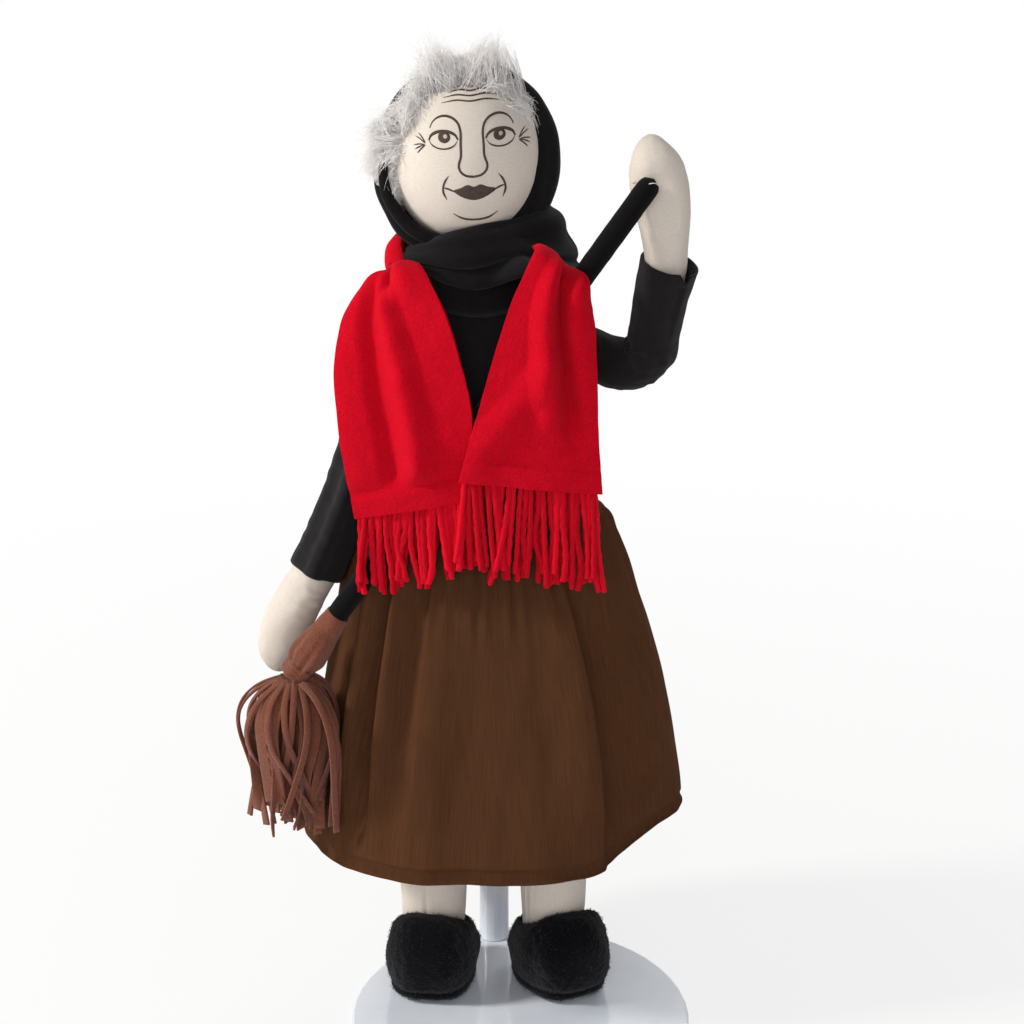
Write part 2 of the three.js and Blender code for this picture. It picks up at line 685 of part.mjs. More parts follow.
// The kerchief's ends, wound round the neck: a thick ring with a lapped edge across its front.
function neckWrap() {
  const levels = [0, 0.18, 0.4, 0.6, 0.82, 1];
  const bulge = [0.98, WRAP_BULGE, 1.02, 0.98, 0.95, 0.86];
  const ringAt = (t, share, inner) =>
    Array.from({ length: WRAP_SIDES }, (_, k) => {
      const angle = (k / WRAP_SIDES) * 2 * Math.PI;
      const lap = WRAP_FOLD * Math.sin(angle * 2 + 7 * t);
      const x = inner ?? WRAP_HALF_WIDTH * share + lap;
      const y = inner ?? WRAP_HALF_DEPTH * share + lap;
      const z = WRAP_LOW_Z + t * WRAP_HEIGHT;
      return vec(NECK_X + x * Math.cos(angle), y * Math.sin(angle), z);
    });
  const chin = WRAP_HIGH_Z - HEAD_Z;
  const mouth = HEAD_HALF_WIDTH * Math.sqrt(1 - (chin / HEAD_HALF_HEIGHT) ** 2) + 3 * SEAT;
  const bore = NECK_RADIUS + 2 * SEAT;
  const outer = levels.map((t, i) => ringAt(t, bulge[i]));
  const inner = [ringAt(1, 1, mouth), ringAt(0.72, 1, bore + 1), ringAt(0, 1, bore)];
  return skin([...outer, ...inner], true);
}

// Arms. A forearm's ball turns in the hollow that it leaves in the upper arm.

const ARM_RADIUS = SLEEVE_RADIUS - CLOTH - SEAT;

// A joint of the arm at height z, with the ball of the sleeve there seated against the blouse.
function besideBody(side, z) {
  const reaches = [-1, -0.75, -0.5, -0.25, 0, 0.25, 0.5].map((share) => {
    const level = z + share * SLEEVE_RADIUS;
    const edge = side * spineX(level) + flat(BODY_SIDES) * (bodyHalfWidth(level) + BLOUSE_OFFSET);
    return edge + SEAT + flat(LIMB_SIDES) * SLEEVE_RADIUS * Math.sqrt(1 - share ** 2);
  });
  return vec(side * Math.max(...reaches), 0, z);
}

const LEFT_SHOULDER = besideBody(1, SHOULDER_Z + LEFT_SHOULDER_LIFT);
const LEFT_ELBOW = LEFT_SHOULDER.clone().add(
  vec(
    UPPER_ARM * Math.cos(radians(LEFT_UPPER_DROP)),
    -0.15 * UPPER_ARM,
    -UPPER_ARM * Math.sin(radians(LEFT_UPPER_DROP)),
  ),
);
const PALM_DEPTH = HAND_HALF_DEPTH * Math.sqrt(1 - (STICK_END_SIDE / HAND_HALF_WIDTH) ** 2);
const HAND_Y = STICK_Y + STICK_RADIUS + PALM_DEPTH - PALM_PRESS;
const LEFT_CUFF = vec(
  LEFT_ELBOW.x + 0.12 * FOREARM,
  0.45 * LEFT_ELBOW.y + 0.55 * HAND_Y,
  LEFT_ELBOW.z + 0.95 * FOREARM,
);
const LEFT_PALM = vec(LEFT_CUFF.x - 0.07 * HAND_LENGTH, HAND_Y, LEFT_CUFF.z + 0.55 * HAND_LENGTH);
const LEFT_TIP = vec(LEFT_CUFF.x - 0.2 * HAND_LENGTH, HAND_Y, LEFT_CUFF.z + 0.86 * HAND_LENGTH);

const RIGHT_SHOULDER = besideBody(-1, SHOULDER_Z);
const RIGHT_ELBOW = besideBody(-1, SHOULDER_Z - UPPER_ARM).add(
  vec(-ELBOW_CLEAR, -0.08 * UPPER_ARM, 0),
);
const RIGHT_CUFF_Z = RIGHT_ELBOW.z - 0.94 * LOW_FOREARM;
const RIGHT_CUFF = vec(
  -(skirtHalfWidth(RIGHT_CUFF_Z) + FOLD_DEPTH + ARM_CLEAR + CUFF_RADIUS),
  -0.13 * LOW_FOREARM,
  RIGHT_CUFF_Z,
);
const LOW_ARM_LINE = RIGHT_CUFF.clone().sub(RIGHT_ELBOW).normalize();
const lowHand = (share) =>
  RIGHT_CUFF.clone()
    .addScaledVector(LOW_ARM_LINE, share * HAND_LENGTH)
    .add(vec(-HAND_SPLAY * share * HAND_LENGTH, 0, 0))
    .setY(RIGHT_CUFF.y);
const RIGHT_PALM = lowHand(0.5);
const RIGHT_TIP = lowHand(0.84);

// Stops of a sleeve half and of the stuffed arm inside it.
const upperStops = (shoulder, elbow, radius) => [
  [shoulder, radius, radius],
  [shoulder.clone().lerp(elbow, 0.5), 0.97 * radius, 0.97 * radius],
  [elbow, 0.97 * radius, 0.97 * radius],
];
const lowerSleeveStops = (elbow, cuff) => [
  [elbow, SLEEVE_RADIUS, SLEEVE_RADIUS],
  [elbow.clone().lerp(cuff, 0.5), 0.5 * (SLEEVE_RADIUS + CUFF_RADIUS), SLEEVE_RADIUS],
  [cuff, CUFF_RADIUS, SLEEVE_RADIUS],
];
const forearmStops = (elbow, cuff, palm, tip) => [
  [elbow, ARM_RADIUS, ARM_RADIUS],
  [elbow.clone().lerp(cuff, 0.5), ARM_RADIUS, ARM_RADIUS],
  [cuff, ARM_RADIUS, ARM_RADIUS - 0.5],
  [palm, HAND_HALF_WIDTH, HAND_HALF_DEPTH],
  [tip, 0.62 * HAND_HALF_WIDTH, 0.75 * HAND_HALF_DEPTH],
];

// The room that a forearm's sleeve sweeps as it turns about Y at the elbow.
function elbowSweep(elbow, cuff, swing) {
  const poses = 3;
  const near = lowerSleeveStops(elbow, cuff).slice(0, 2);
  return Array.from({ length: poses }, (_, i) =>
    limb(near, { steps: 1, grow: 2 * SEAT, domes: [true, false] })
      .translate(-elbow.x, -elbow.y, -elbow.z)
      .rotateY(radians((swing * i) / (poses - 1)))
      .translate(elbow.x, elbow.y, elbow.z),
  );
}

// One arm's four pieces. Swing is the elbow's travel about Y, in degrees.
function arm(shoulder, elbow, cuff, palm, tip, swing) {
  const sweep = elbowSweep(elbow, cuff, swing);
  const length = elbow.distanceTo(shoulder);
  const end = shoulder.clone().lerp(elbow, 1 - (ELBOW_ROOM * SLEEVE_RADIUS) / length);
  return {
    upperArm: limb(upperStops(shoulder, end, ARM_RADIUS), { steps: 2, domes: [true, false] }),
    upperSleeve: cut(sleeve(upperStops(shoulder, elbow, SLEEVE_RADIUS), { steps: 4 }), ...sweep),
    forearm: limb(forearmStops(elbow, cuff, palm, tip), { steps: 9 }),
    lowerSleeve: sleeve(lowerSleeveStops(elbow, cuff), { steps: 4 }),
  };
}

// Legs and slippers

function leg(side, grow = 0) {
  const x = side * LEG_SPREAD;
  const ankle = SOLE_Z + SOLE_THICKNESS + 0.55 * SHOE_HEIGHT;
  const stops = [
    [vec(x, 0, ankle), 0.94 * LEG_RADIUS, 0.94 * LEG_RADIUS],
    [vec(x, 0, 0.6 * ankle + 0.4 * HIP_Z), LEG_RADIUS, LEG_RADIUS],
    [vec(x, 0, HIP_Z), HIP_RADIUS, HIP_RADIUS],
  ];
  return limb(stops, { steps: 5, grow });
}

// A slipper's outline at a height: full at the sides, long at the toe.
function shoeRing(side, z, halfWidth, toe, heel) {
  const full = 0.8; // below 1, the oval fills out towards its corners
  const bow = (value) => Math.sign(value) * Math.abs(value) ** full;
  return Array.from({ length: SHOE_SIDES }, (_, k) => {
    const angle = ((k + 0.5) / SHOE_SIDES) * 2 * Math.PI;
    const y = bow(Math.sin(angle));
    return vec(side * LEG_SPREAD + halfWidth * bow(Math.cos(angle)), y < 0 ? toe * y : heel * y, z);
  });
}

const SHOE_LOW_Z = SOLE_Z + SOLE_THICKNESS + SEAT;
const ANKLE_RIM = LEG_RADIUS + SEAT + CLOTH;

function shoe(side) {
  const wide = [0.84, 0.97, 1, 0.95].map((share) => share * SHOE_HALF_WIDTH);
  const toe = [0.9, 1, 0.98, 0.78].map((share) => share * TOE_REACH);
  const heel = [0.75, 0.95, 1, 0.98].map((share) => share * HEEL_REACH);
  const rise = [0, 0.2, 0.45, 0.75];
  const rings = rise.map((t, i) =>
    shoeRing(side, SHOE_LOW_Z + t * SHOE_HEIGHT, wide[i], toe[i], heel[i]));
  const rim = (t, grow) =>
    shoeRing(side, SHOE_LOW_Z + t * SHOE_HEIGHT, ANKLE_RIM + grow, ANKLE_RIM + 2 * grow, ANKLE_RIM);
  return cut(skin([...rings, rim(0.92, 1.5), rim(1, 0)]), leg(side, SEAT));
}

function sole(side) {
  const ring = (z, inset) =>
    shoeRing(side, z, 0.8 * SHOE_HALF_WIDTH - inset, 0.86 * TOE_REACH - inset, 0.5 * HEEL_REACH - inset);
  return skin([ring(SOLE_Z, 0.8), ring(SOLE_Z + 0.8, 0), ring(SOLE_Z + SOLE_THICKNESS, 0)]);
}

// Broom. Its own axis runs from the tie up to the top end of the stick.

const BROOM_LINE = vec(Math.cos(radians(STICK_TILT)), 0, Math.sin(radians(STICK_TILT)));
const STICK_TOP = vec(LEFT_PALM.x - STICK_END_SIDE, STICK_Y, LEFT_PALM.z + STICK_END_RISE);
const TIE = STICK_TOP.clone().addScaledVector(BROOM_LINE, -STICK_TO_TIE);

// Turns a shape made up the Z axis, with the tie at its origin, onto the broom.
const ontoBroom = (geometry) =>
  geometry
    .applyQuaternion(new THREE.Quaternion().setFromUnitVectors(vec(0, 0, 1), BROOM_LINE))
    .translate(TIE.x, TIE.y, TIE.z);

const STICK_START = TIE_WIDTH; // the stick ends inside the cap
const stickProfile = (grow) => [
  [0, STICK_START - grow],
  [STICK_RADIUS + grow, STICK_START - grow],
  ...arc(0, STICK_TO_TIE - STICK_RADIUS, STICK_RADIUS + grow, 0, 90, 4),
];
const broomStick = () => ontoBroom(revolve(stickProfile(0), STICK_SIDES));

// Brown felt folded up over the stick's end, fullest below its middle and drawn in at the tie.
function broomCap() {
  const radiusAt = through([
    [0, STICK_RADIUS + 0.6],
    [0.35, CAP_RADIUS],
    [0.7, 0.88 * CAP_RADIUS],
    [1, STICK_RADIUS + 1.6],
  ]);
  const low = TIE_WIDTH / 2 + SEAT;
  const wall = [0, 0.15, 0.35, 0.55, 0.75, 0.9, 1].map((t) => [
    radiusAt(t),
    low + t * (CAP_LENGTH - low),
  ]);
  const cap = revolve([[0, low], ...wall, [0, CAP_LENGTH]], STICK_SIDES);
  return ontoBroom(cut(cap, revolve(stickProfile(SEAT), STICK_SIDES)));
}

const TIE_CORE = TIE_RADIUS - 3; // the bunched felt inside the binding

function broomBinding() {
  const half = TIE_WIDTH / 2;
  const bore = TIE_CORE + 2 * SEAT;
  const cord = half / 2;
  const cords = [-cord, cord].flatMap((z) => arc(TIE_RADIUS - cord, z, cord, -80, 80, 3));
  const profile = [[bore, -half], ...cords, [bore, half], [bore, -half]];
  return ontoBroom(revolve(profile, BINDING_SIDES));
}

// The skirt's front surface at a place, with room for its folds; strips rest outside it.
function skirtFace(x, z) {
  const wide = skirtHalfWidth(z) + FOLD_DEPTH + STRIP_CLEAR;
  const deep = skirtFront(z) + FOLD_DEPTH + STRIP_CLEAR;
  return Math.abs(x) < wide ? -deep * Math.sqrt(1 - (x / wide) ** 2) : Infinity;
}

// The line that the strips hang along, from the tie.
function hangLine(length) {
  const start = TIE.clone().addScaledVector(BROOM_LINE, -TIE_WIDTH / 2 - 5 * SEAT);
  return new THREE.QuadraticBezierCurve3(
    start,
    start.clone().addScaledVector(BROOM_LINE, -0.3 * length),
    vec(start.x - 0.17 * length, start.y - 0.12 * length, start.z - 0.93 * length),
  );
}

// One felt strip, as flat four-sided rings down its length. Ring share 1 is the outermost.
function felt(angle, share, length) {
  const steps = 4;
  const hang = hangLine(length);
  const spread = through([
    [0, 0.16],
    [0.25, 0.62],
    [0.55, 0.95],
    [1, 0.9],
  ]);
  const place = (t) => {
    const reach = share * BUNDLE_RADIUS * spread(t);
    const point = hang.getPoint(t);
    point.x += reach * Math.cos(angle);
    point.y += BUNDLE_DEPTH * reach * Math.sin(angle);
    point.y = Math.min(point.y, skirtFace(point.x, point.z) + 0.4 * share * STRIP_CLEAR);
    return point;
  };
  const rings = Array.from({ length: steps + 1 }, (_, i) => {
    const t = i / steps;
    const down = place(Math.min(t + 0.02, 1)).sub(place(Math.max(t - 0.02, 0))).normalize();
    const out = vec(Math.cos(angle), BUNDLE_DEPTH * Math.sin(angle), 0);
    out.addScaledVector(down, -out.dot(down)).normalize();
    const across = down.clone().cross(out);
    const half = (STRIP_WIDTH / 2) * Math.min(1, 0.2 + 2 * t);
    const [u, v] = [across.multiplyScalar(half), out.multiplyScalar(STRIP_THICKNESS / 2)];
    const centre = place(t);
    const corner = (a, b) => centre.clone().addScaledVector(u, a).addScaledVector(v, b);
    return [corner(-1, -1), corner(-1, 1), corner(1, 1), corner(1, -1)];
  });
  return skin(rings);
}

// The strips fan out from felt that is bunched inside the binding and swells below it.
function broomStrips() {
  const hang = hangLine(STRIP_LENGTH);
  const bunch = [
    [TIE.clone().addScaledVector(BROOM_LINE, TIE_WIDTH / 2), 0.96 * TIE_CORE, 0.96 * TIE_CORE],
    [hang.getPoint(0), 0.96 * TIE_CORE, 0.96 * TIE_CORE],
    [hang.getPoint(0.05), TIE_CORE, TIE_CORE],
    [hang.getPoint(0.14), 0.36 * BUNDLE_RADIUS, 0.26 * BUNDLE_RADIUS],
    [hang.getPoint(0.26), 0.4 * BUNDLE_RADIUS, 0.28 * BUNDLE_RADIUS],
  ];
  const strips = STRIP_COUNTS.flatMap((count, row) =>
    Array.from({ length: count }, (_, k) => {
      const angle = ((k + 0.37 * row) / count) * 2 * Math.PI;
      const share = (row + 0.7) / (STRIP_COUNTS.length - 0.3);
      return felt(angle, share, STRIP_LENGTH * (1 - 0.09 * Math.abs(Math.sin(5 * k + row))));
    }),
  );
  return join(limb(bunch, { steps: 6, domes: [false, true] }), ...strips);
}

// Scarf: one length of fleece from the right end, round the back of the neck, to the left end.
// Each stop is its middle, the way its face looks, half its width, its thickness and how far
// its outer and its inner edge curl back.

const ROLL = 2 * FLEECE; // the fleece is bunched where it goes round the neck
const ROLL_AWAY = WRAP_FOLD + 4 * SEAT + ROLL / 2;
const ROLL_HALF_WIDTH = WRAP_BULGE * WRAP_HALF_WIDTH + ROLL_AWAY;
const ROLL_HALF_DEPTH = WRAP_BULGE * WRAP_HALF_DEPTH + ROLL_AWAY;
const ROLL_Z = WRAP_LOW_Z + 0.46 * WRAP_HEIGHT;

function scarfStops() {
  const stop = (x, y, z, out, share, curls) => [
    vec(x, y, z),
    out,
    share * SCARF_HALF_WIDTH,
    FLEECE,
    curls.map((curl) => curl * SCARF_CURL),
  ];
  const panel = (x, drop, share, curls) =>
    stop(x, SCARF_Y, SHOULDER_Z - drop, vec(0, -1, 0), share, curls);
  const shoulder = (x, out, rise, back, share, curls) =>
    stop(x, SCARF_Y + back * SCARF_SET_BACK, SHOULDER_Z + rise * SCARF_RISE, out, share, curls);
  const roll = (degrees, lift = 0) => {
    const out = vec(Math.cos(radians(degrees)), Math.sin(radians(degrees)), 0);
    const centre = vec(NECK_X + ROLL_HALF_WIDTH * out.x, ROLL_HALF_DEPTH * out.y, ROLL_Z + lift);
    return [centre, out, ROLL_HALF_HEIGHT, ROLL, [0, 0]];
  };
  const rightX = NECK_X - SCARF_SPREAD_RIGHT;
  const leftX = NECK_X + SCARF_SPREAD_LEFT;
  return [
    panel(rightX, SCARF_DROP_RIGHT, 0.9, [0, 0]),
    panel(rightX - 0.04 * SCARF_HALF_WIDTH, 0.5 * SCARF_DROP_RIGHT, 1, [0.7, 0]),
    panel(rightX - 0.11 * SCARF_HALF_WIDTH, 0.1 * SCARF_DROP_RIGHT, 0.96, [1, 0]),
    shoulder(rightX - 0.13 * SCARF_HALF_WIDTH, vec(-0.45, -0.9, 0.35), 0.45, 0.72, 0.82, [0.35, 0.1]),
    shoulder(rightX - 0.06 * SCARF_HALF_WIDTH, vec(-0.75, -0.6, 0.3), 0.87, 1.2, 0.5, [0.2, 0.1]),
    roll(205),
    roll(170),
    roll(130),
    roll(90),
    roll(50),
    roll(10),
    roll(-28, ROLL_LIFT),
    shoulder(leftX + 0.04 * SCARF_HALF_WIDTH, vec(0.2, -1, 0.3), 1, 0.12, 0.29, [0, 0]),
    shoulder(leftX + 0.18 * SCARF_HALF_WIDTH, vec(0, -1, 0.1), 0.55, -0.08, 0.61, [0, 0]),
    panel(leftX + 0.14 * SCARF_HALF_WIDTH, 0.1 * SCARF_DROP_LEFT, 0.79, [0, 0]),
    panel(leftX + 0.04 * SCARF_HALF_WIDTH, 0.6 * SCARF_DROP_LEFT, 0.96, [0, -0.15]),
    panel(leftX, SCARF_DROP_LEFT, 1.04, [0, -0.15]),
  ];
}

const SCARF_STOPS = scarfStops();
const SCARF_COLUMNS = 7;

// The scarf's frame at t: middle, across, out and sizes.
function scarfFrame() {
  const path = new THREE.CatmullRomCurve3(SCARF_STOPS.map((stop) => stop[0]));
  const facing = new THREE.CatmullRomCurve3(SCARF_STOPS.map((stop) => stop[1]));
  const last = SCARF_STOPS.length - 1;
  const value = (read) => through(SCARF_STOPS.map((stop, i) => [i / last, read(stop)]));
  const half = value((stop) => stop[2]);
  const thick = value((stop) => stop[3]);
  const first = value((stop) => stop[4][0]);
  const second = value((stop) => stop[4][1]);
  return (t) => {
    const along = path.getTangent(t);
    const out = facing.getPoint(t);
    out.addScaledVector(along, -out.dot(along)).normalize();
    const across = out.clone().cross(along);
    return {
      centre: path.getPoint(t),
      out,
      across,
      half: half(t),
      thick: thick(t),
      curls: [first(t), second(t)],
    };
  };
}

const frameAt = scarfFrame();

// A point on the scarf's middle surface: s runs across it from -1 to 1.
function scarfPoint(t, s) {
  const { centre, across, out, half, curls } = frameAt(t);
  const curl = s > 0 ? curls[0] : curls[1];
  const fold = SCARF_FOLD * Math.cos(3 * Math.PI * s) * Math.min(1, (2 * t - 1) ** 2);
  return centre.addScaledVector(across, half * s).addScaledVector(out, fold - curl * s * s);
}

function scarf() {
  const steps = 34;
  const rings = Array.from({ length: steps + 1 }, (_, i) => {
    const t = i / steps;
    const { out, thick } = frameAt(t);
    const row = Array.from({ length: SCARF_COLUMNS }, (_, k) => -1 + (2 * k) / (SCARF_COLUMNS - 1));
    const side = (way) => row.map((s) => scarfPoint(t, s).addScaledVector(out, (way * thick) / 2));
    return [...side(-1), ...side(1).reverse()];
  });
  return skin(rings);
}

// Yarn strands in two rows, sewn into a narrow heading along one end of the scarf.
function fringe(t) {
  const heading = (s) => scarfPoint(t, s).add(vec(0, 0, -SEAT - 1.2));
  const bar = Array.from({ length: SCARF_COLUMNS }, (_, k) => {
    const s = -0.97 + (1.94 * k) / (SCARF_COLUMNS - 1);
    const step = heading(Math.min(s + 0.02, 1)).x - heading(Math.max(s - 0.02, -1)).x;
    const way = Math.sign(step);
    const corner = (b, c) => heading(s).add(vec(0, (b * FLEECE) / 2, c));
    const ring = [corner(-1, -1), corner(1, -1), corner(1, 1), corner(-1, 1)];
    return way > 0 ? ring : ring.reverse();
  });
  const strands = Array.from({ length: FRINGE_STRANDS }, (_, i) => {
    const s = -0.94 + (1.88 * i) / (FRINGE_STRANDS - 1);
    const row = i % 2 ? 1 : -1;
    const top = heading(s).add(vec(0, row * 0.45 * STRAND_DIAMETER, 0));
    const length = FRINGE_LENGTH * (1 - 0.08 * Math.abs(Math.sin(3.7 * i)));
    const rings = [1, 0.5, 0].map((down) => {
      const sway = STRAND_SWAY * Math.sin(2.3 * i) * down;
      const centre = top.clone().add(vec(sway, STRAND_SWAY * row * down, -down * length));
      const radius = (STRAND_DIAMETER / 2) * (down === 1 ? 0.8 : 1);
      return oval(centre, vec(radius, 0, 0), vec(0, radius, 0), 4);
    });
    return skin(rings);
  });
  return join(skin(bar), ...strands);
}

// Assembly

const FINISHES = {
  stand: { color: 0xe9edf3, roughness: 0.28, metalness: 0 },
  steel: { color: 0xb9bcc0, roughness: 0.35, metalness: 1 },
  vinyl: { color: 0xdfe2e4, roughness: 0.5, metalness: 0 },
  calico: { color: 0xe2d8ca, roughness: 0.9, metalness: 0 },
  black: { color: 0x0d0c0e, roughness: 0.85, metalness: 0 },
  plush: { color: 0x101013, roughness: 1, metalness: 0 },
  skirt: { color: 0x4a3420, roughness: 0.9, metalness: 0 },
  red: { color: 0xc4081c, roughness: 0.95, metalness: 0 },
  felt: { color: 0x6b3f2c, roughness: 1, metalness: 0 },
  fur: { color: 0xb9b4b3, roughness: 1, metalness: 0 },
};

function piece(name, geometry, finish) {
  const mesh = new THREE.Mesh(geometry, new THREE.MeshStandardMaterial(FINISHES[finish]));
  mesh.name = name;
  return mesh;
}

function stand() {
  const group = new THREE.Group();
  group.add(
    piece("stand_base", standBase(), "stand"),
    piece("stand_post", standPost(), "stand"),
    piece("post_screw", screw(), "steel"),
  );
  return group;
}

function doll() {
  const group = new THREE.Group();
  group.position.set(DOLL_X, DOLL_Y, 0);
  group.add(
    piece("clip_collar", clipCollar(), "stand"),
    piece("clip_wire", clipWire(), "steel"),
    piece("clip_sleeve_left", clipSleeve(1), "vinyl"),
    piece("clip_sleeve_right", clipSleeve(-1), "vinyl"),
    piece("body", body(), "calico"),
    piece("blouse_bodice", bodice(), "black"),
    piece("skirt_waistband", waistband(), "skirt"),
    piece("skirt", skirt(), "skirt"),
    piece("head", head(), "calico"),
    piece("hair", hair(), "fur"),
    piece("kerchief_hood", hood(), "black"),
    piece("kerchief_wrap", neckWrap(), "black"),
    piece("scarf", scarf(), "red"),
    piece("fringe_right", fringe(0), "red"),
    piece("fringe_left", fringe(1), "red"),
    piece("broom_stick", broomStick(), "black"),
    piece("broom_cap", broomCap(), "felt"),
    piece("broom_binding", broomBinding(), "felt"),
    piece("broom_strips", broomStrips(), "felt"),
  );
  const arms = {
    left: arm(LEFT_SHOULDER, LEFT_ELBOW, LEFT_CUFF, LEFT_PALM, LEFT_TIP, LEFT_SHOULDER_SWING),
    right: arm(RIGHT_SHOULDER, RIGHT_ELBOW, RIGHT_CUFF, RIGHT_PALM, RIGHT_TIP, RIGHT_ELBOW_SWING),
  };
  for (const [side, made] of Object.entries(arms)) {
    group.add(
      piece(`${side}_upper_arm`, made.upperArm, "calico"),
      piece(`${side}_upper_sleeve`, made.upperSleeve, "black"),
      piece(`${side}_forearm`, made.forearm, "calico"),
      piece(`${side}_lower_sleeve`, made.lowerSleeve, "black"),
    );
  }
  for (const [side, way] of [["left", 1], ["right", -1]]) {
    group.add(
      piece(`${side}_leg`, leg(way), "calico"),
      piece(`${side}_slipper`, shoe(way), "plush"),
      piece(`${side}_sole`, sole(way), "plush"),
    );
  }
  return group;
}

const assembly = new THREE.Group();
assembly.add(stand(), doll());

export default assembly;
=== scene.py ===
import json
import math

import bpy
import numpy as np
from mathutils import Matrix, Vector

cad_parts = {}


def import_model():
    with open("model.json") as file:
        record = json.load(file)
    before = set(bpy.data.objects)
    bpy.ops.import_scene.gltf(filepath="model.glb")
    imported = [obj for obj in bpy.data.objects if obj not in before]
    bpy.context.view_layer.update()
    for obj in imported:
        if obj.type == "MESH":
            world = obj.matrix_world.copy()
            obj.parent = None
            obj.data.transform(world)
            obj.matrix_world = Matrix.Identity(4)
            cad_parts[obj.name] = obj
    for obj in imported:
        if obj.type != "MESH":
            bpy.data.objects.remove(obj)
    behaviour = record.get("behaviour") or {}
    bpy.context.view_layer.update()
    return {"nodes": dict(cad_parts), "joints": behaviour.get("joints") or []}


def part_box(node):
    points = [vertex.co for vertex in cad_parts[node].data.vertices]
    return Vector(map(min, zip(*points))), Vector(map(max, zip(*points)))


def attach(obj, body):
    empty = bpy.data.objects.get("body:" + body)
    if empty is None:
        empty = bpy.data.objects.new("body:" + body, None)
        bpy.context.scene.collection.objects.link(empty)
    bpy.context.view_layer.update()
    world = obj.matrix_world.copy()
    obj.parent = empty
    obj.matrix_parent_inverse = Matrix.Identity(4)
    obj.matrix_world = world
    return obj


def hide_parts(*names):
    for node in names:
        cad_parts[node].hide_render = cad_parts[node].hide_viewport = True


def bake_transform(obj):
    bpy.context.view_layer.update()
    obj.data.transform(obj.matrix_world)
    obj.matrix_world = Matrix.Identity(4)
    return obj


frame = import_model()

# Shapes are worked out in millimetres about the doll's own axis, the line that stands over the
# middle of its hips: +X is the doll's left, -Y its front, and Z the height above the floor.

SCENE = bpy.context.scene
MM = 0.001
JOINTS = {joint["name"]: np.array(joint["pos_m"]) for joint in frame["joints"] if "pos_m" in joint}
AXIS = (JOINTS["left_hip"] + JOINTS["right_hip"]) / 2 * [1, 1, 0]


def own(point):
    """A point of the frame, in the doll's own millimetres."""
    return (np.asarray(point, float) - AXIS) / MM


def world(point):
    """A point in the doll's own millimetres, in the frame's metres."""
    return np.asarray(point, float) * MM + AXIS


NECK = own(JOINTS["head_turn"])
LEFT_SHOULDER, LEFT_ELBOW = own(JOINTS["left_shoulder"]), own(JOINTS["left_elbow"])
LEFT_HIP, RIGHT_HIP = own(JOINTS["left_hip"]), own(JOINTS["right_hip"])


# Shape helpers


def through(places, values):
    """A smooth curve through values at rising places, level beyond its ends."""
    x = np.asarray(places, float)
    y = np.asarray(values, float)
    slope = np.gradient(y, x, axis=0)

    def at(place):
        t = np.clip(np.asarray(place, float), x[0], x[-1])
        i = np.clip(np.searchsorted(x, t, side="right") - 1, 0, len(x) - 2)
        wide = x[i + 1] - x[i]
        s = (t - x[i]) / wide
        if y.ndim > 1:
            s, wide = s[..., None], wide[..., None]
        rise = y[i] * (1 + 2 * s) * (1 - s) ** 2 + y[i + 1] * s * s * (3 - 2 * s)
        return rise + wide * s * (1 - s) * (slope[i] * (1 - s) - slope[i + 1] * s)

    return at


def gone_along(path):
    """How far along a path each of its points lies."""
    return np.r_[0, np.cumsum(np.linalg.norm(np.diff(path, axis=0), axis=1))]


def path_through(points, steps):
    """A smooth line of steps + 1 points through the given ones, spaced by their distances."""
    points = np.asarray(points, float)
    gone = gone_along(points)
    return through(gone, points)(np.linspace(0, gone[-1], steps + 1))


def ease(low, high, value):
    """0 up to low, 1 from high on, and a smooth rise between them."""
    t = np.clip((value - low) / (high - low), 0, 1)
    return t * t * (3 - 2 * t)


def bump(at, middle, half):
    """A smooth hill of height 1 about the middle, nothing past its half width."""
    return np.clip(1 - ((at - middle) / half) ** 2, 0, 1) ** 2


def bumps(at, *hills):
    """The sum of smooth hills and hollows, each with its height, middle and half width."""
    return sum(height * bump(at, middle, half) for height, middle, half in hills)


def unit(vectors):
    vectors = np.asarray(vectors, float)
    return vectors / np.maximum(np.linalg.norm(vectors, axis=-1, keepdims=True), 1e-9)


def lumps(points, size, seed):
    """Smooth random heights, about -1 to 1, whose swells are that many millimetres apart."""
    rng = np.random.default_rng(seed)
    total = np.zeros(np.shape(points)[:-1])
    waves = 9
    for _ in range(waves):
        way = unit(rng.normal(size=3)) * rng.uniform(0.6, 1.5) * 2 * np.pi / size
        total += np.sin(points @ way + rng.uniform(0, 2 * np.pi))
    return total * 1.6 / waves


def grid_normals(grid, around=True):
    """The way each point of a grid faces: along its columns crossed with along its rows."""
    if around:
        padded = np.concatenate([grid[:, -1:], grid, grid[:, :1]], axis=1)
        across = (padded[:, 2:] - padded[:, :-2]) / 2
    else:
        across = np.gradient(grid, axis=1)
    return unit(np.cross(across, np.gradient(grid, axis=0)))


def spots(x, y, z):
    """Points from their coordinates, as arrays or single numbers."""
    return np.stack(np.broadcast_arrays(x, y, z), axis=-1)


def turns(count):
    """Equal shares of a full turn."""
    return np.arange(count) / count


def puffed(rings, path, height):
    """Rings moved outwards from their path, by a height at each point."""
    return rings + unit(rings - path[:, None]) * height[..., None]


def tube(path, half_width, half_depth, sides, sideways=(1, 0, 0)):
    """Oval rings along a path. The width lies along the sideways direction."""
    along = unit(np.gradient(path, axis=0))
    side = np.asarray(sideways, float)
    u = unit(side - along * (along @ side)[:, None])
    v = np.cross(along, u)
    angle = turns(sides) * 2 * np.pi
    wide = np.broadcast_to(half_width, len(path))[:, None, None] * np.cos(angle)[None, :, None]
    deep = np.broadcast_to(half_depth, len(path))[:, None, None] * np.sin(angle)[None, :, None]
    return path[:, None] + u[:, None] * wide + v[:, None] * deep


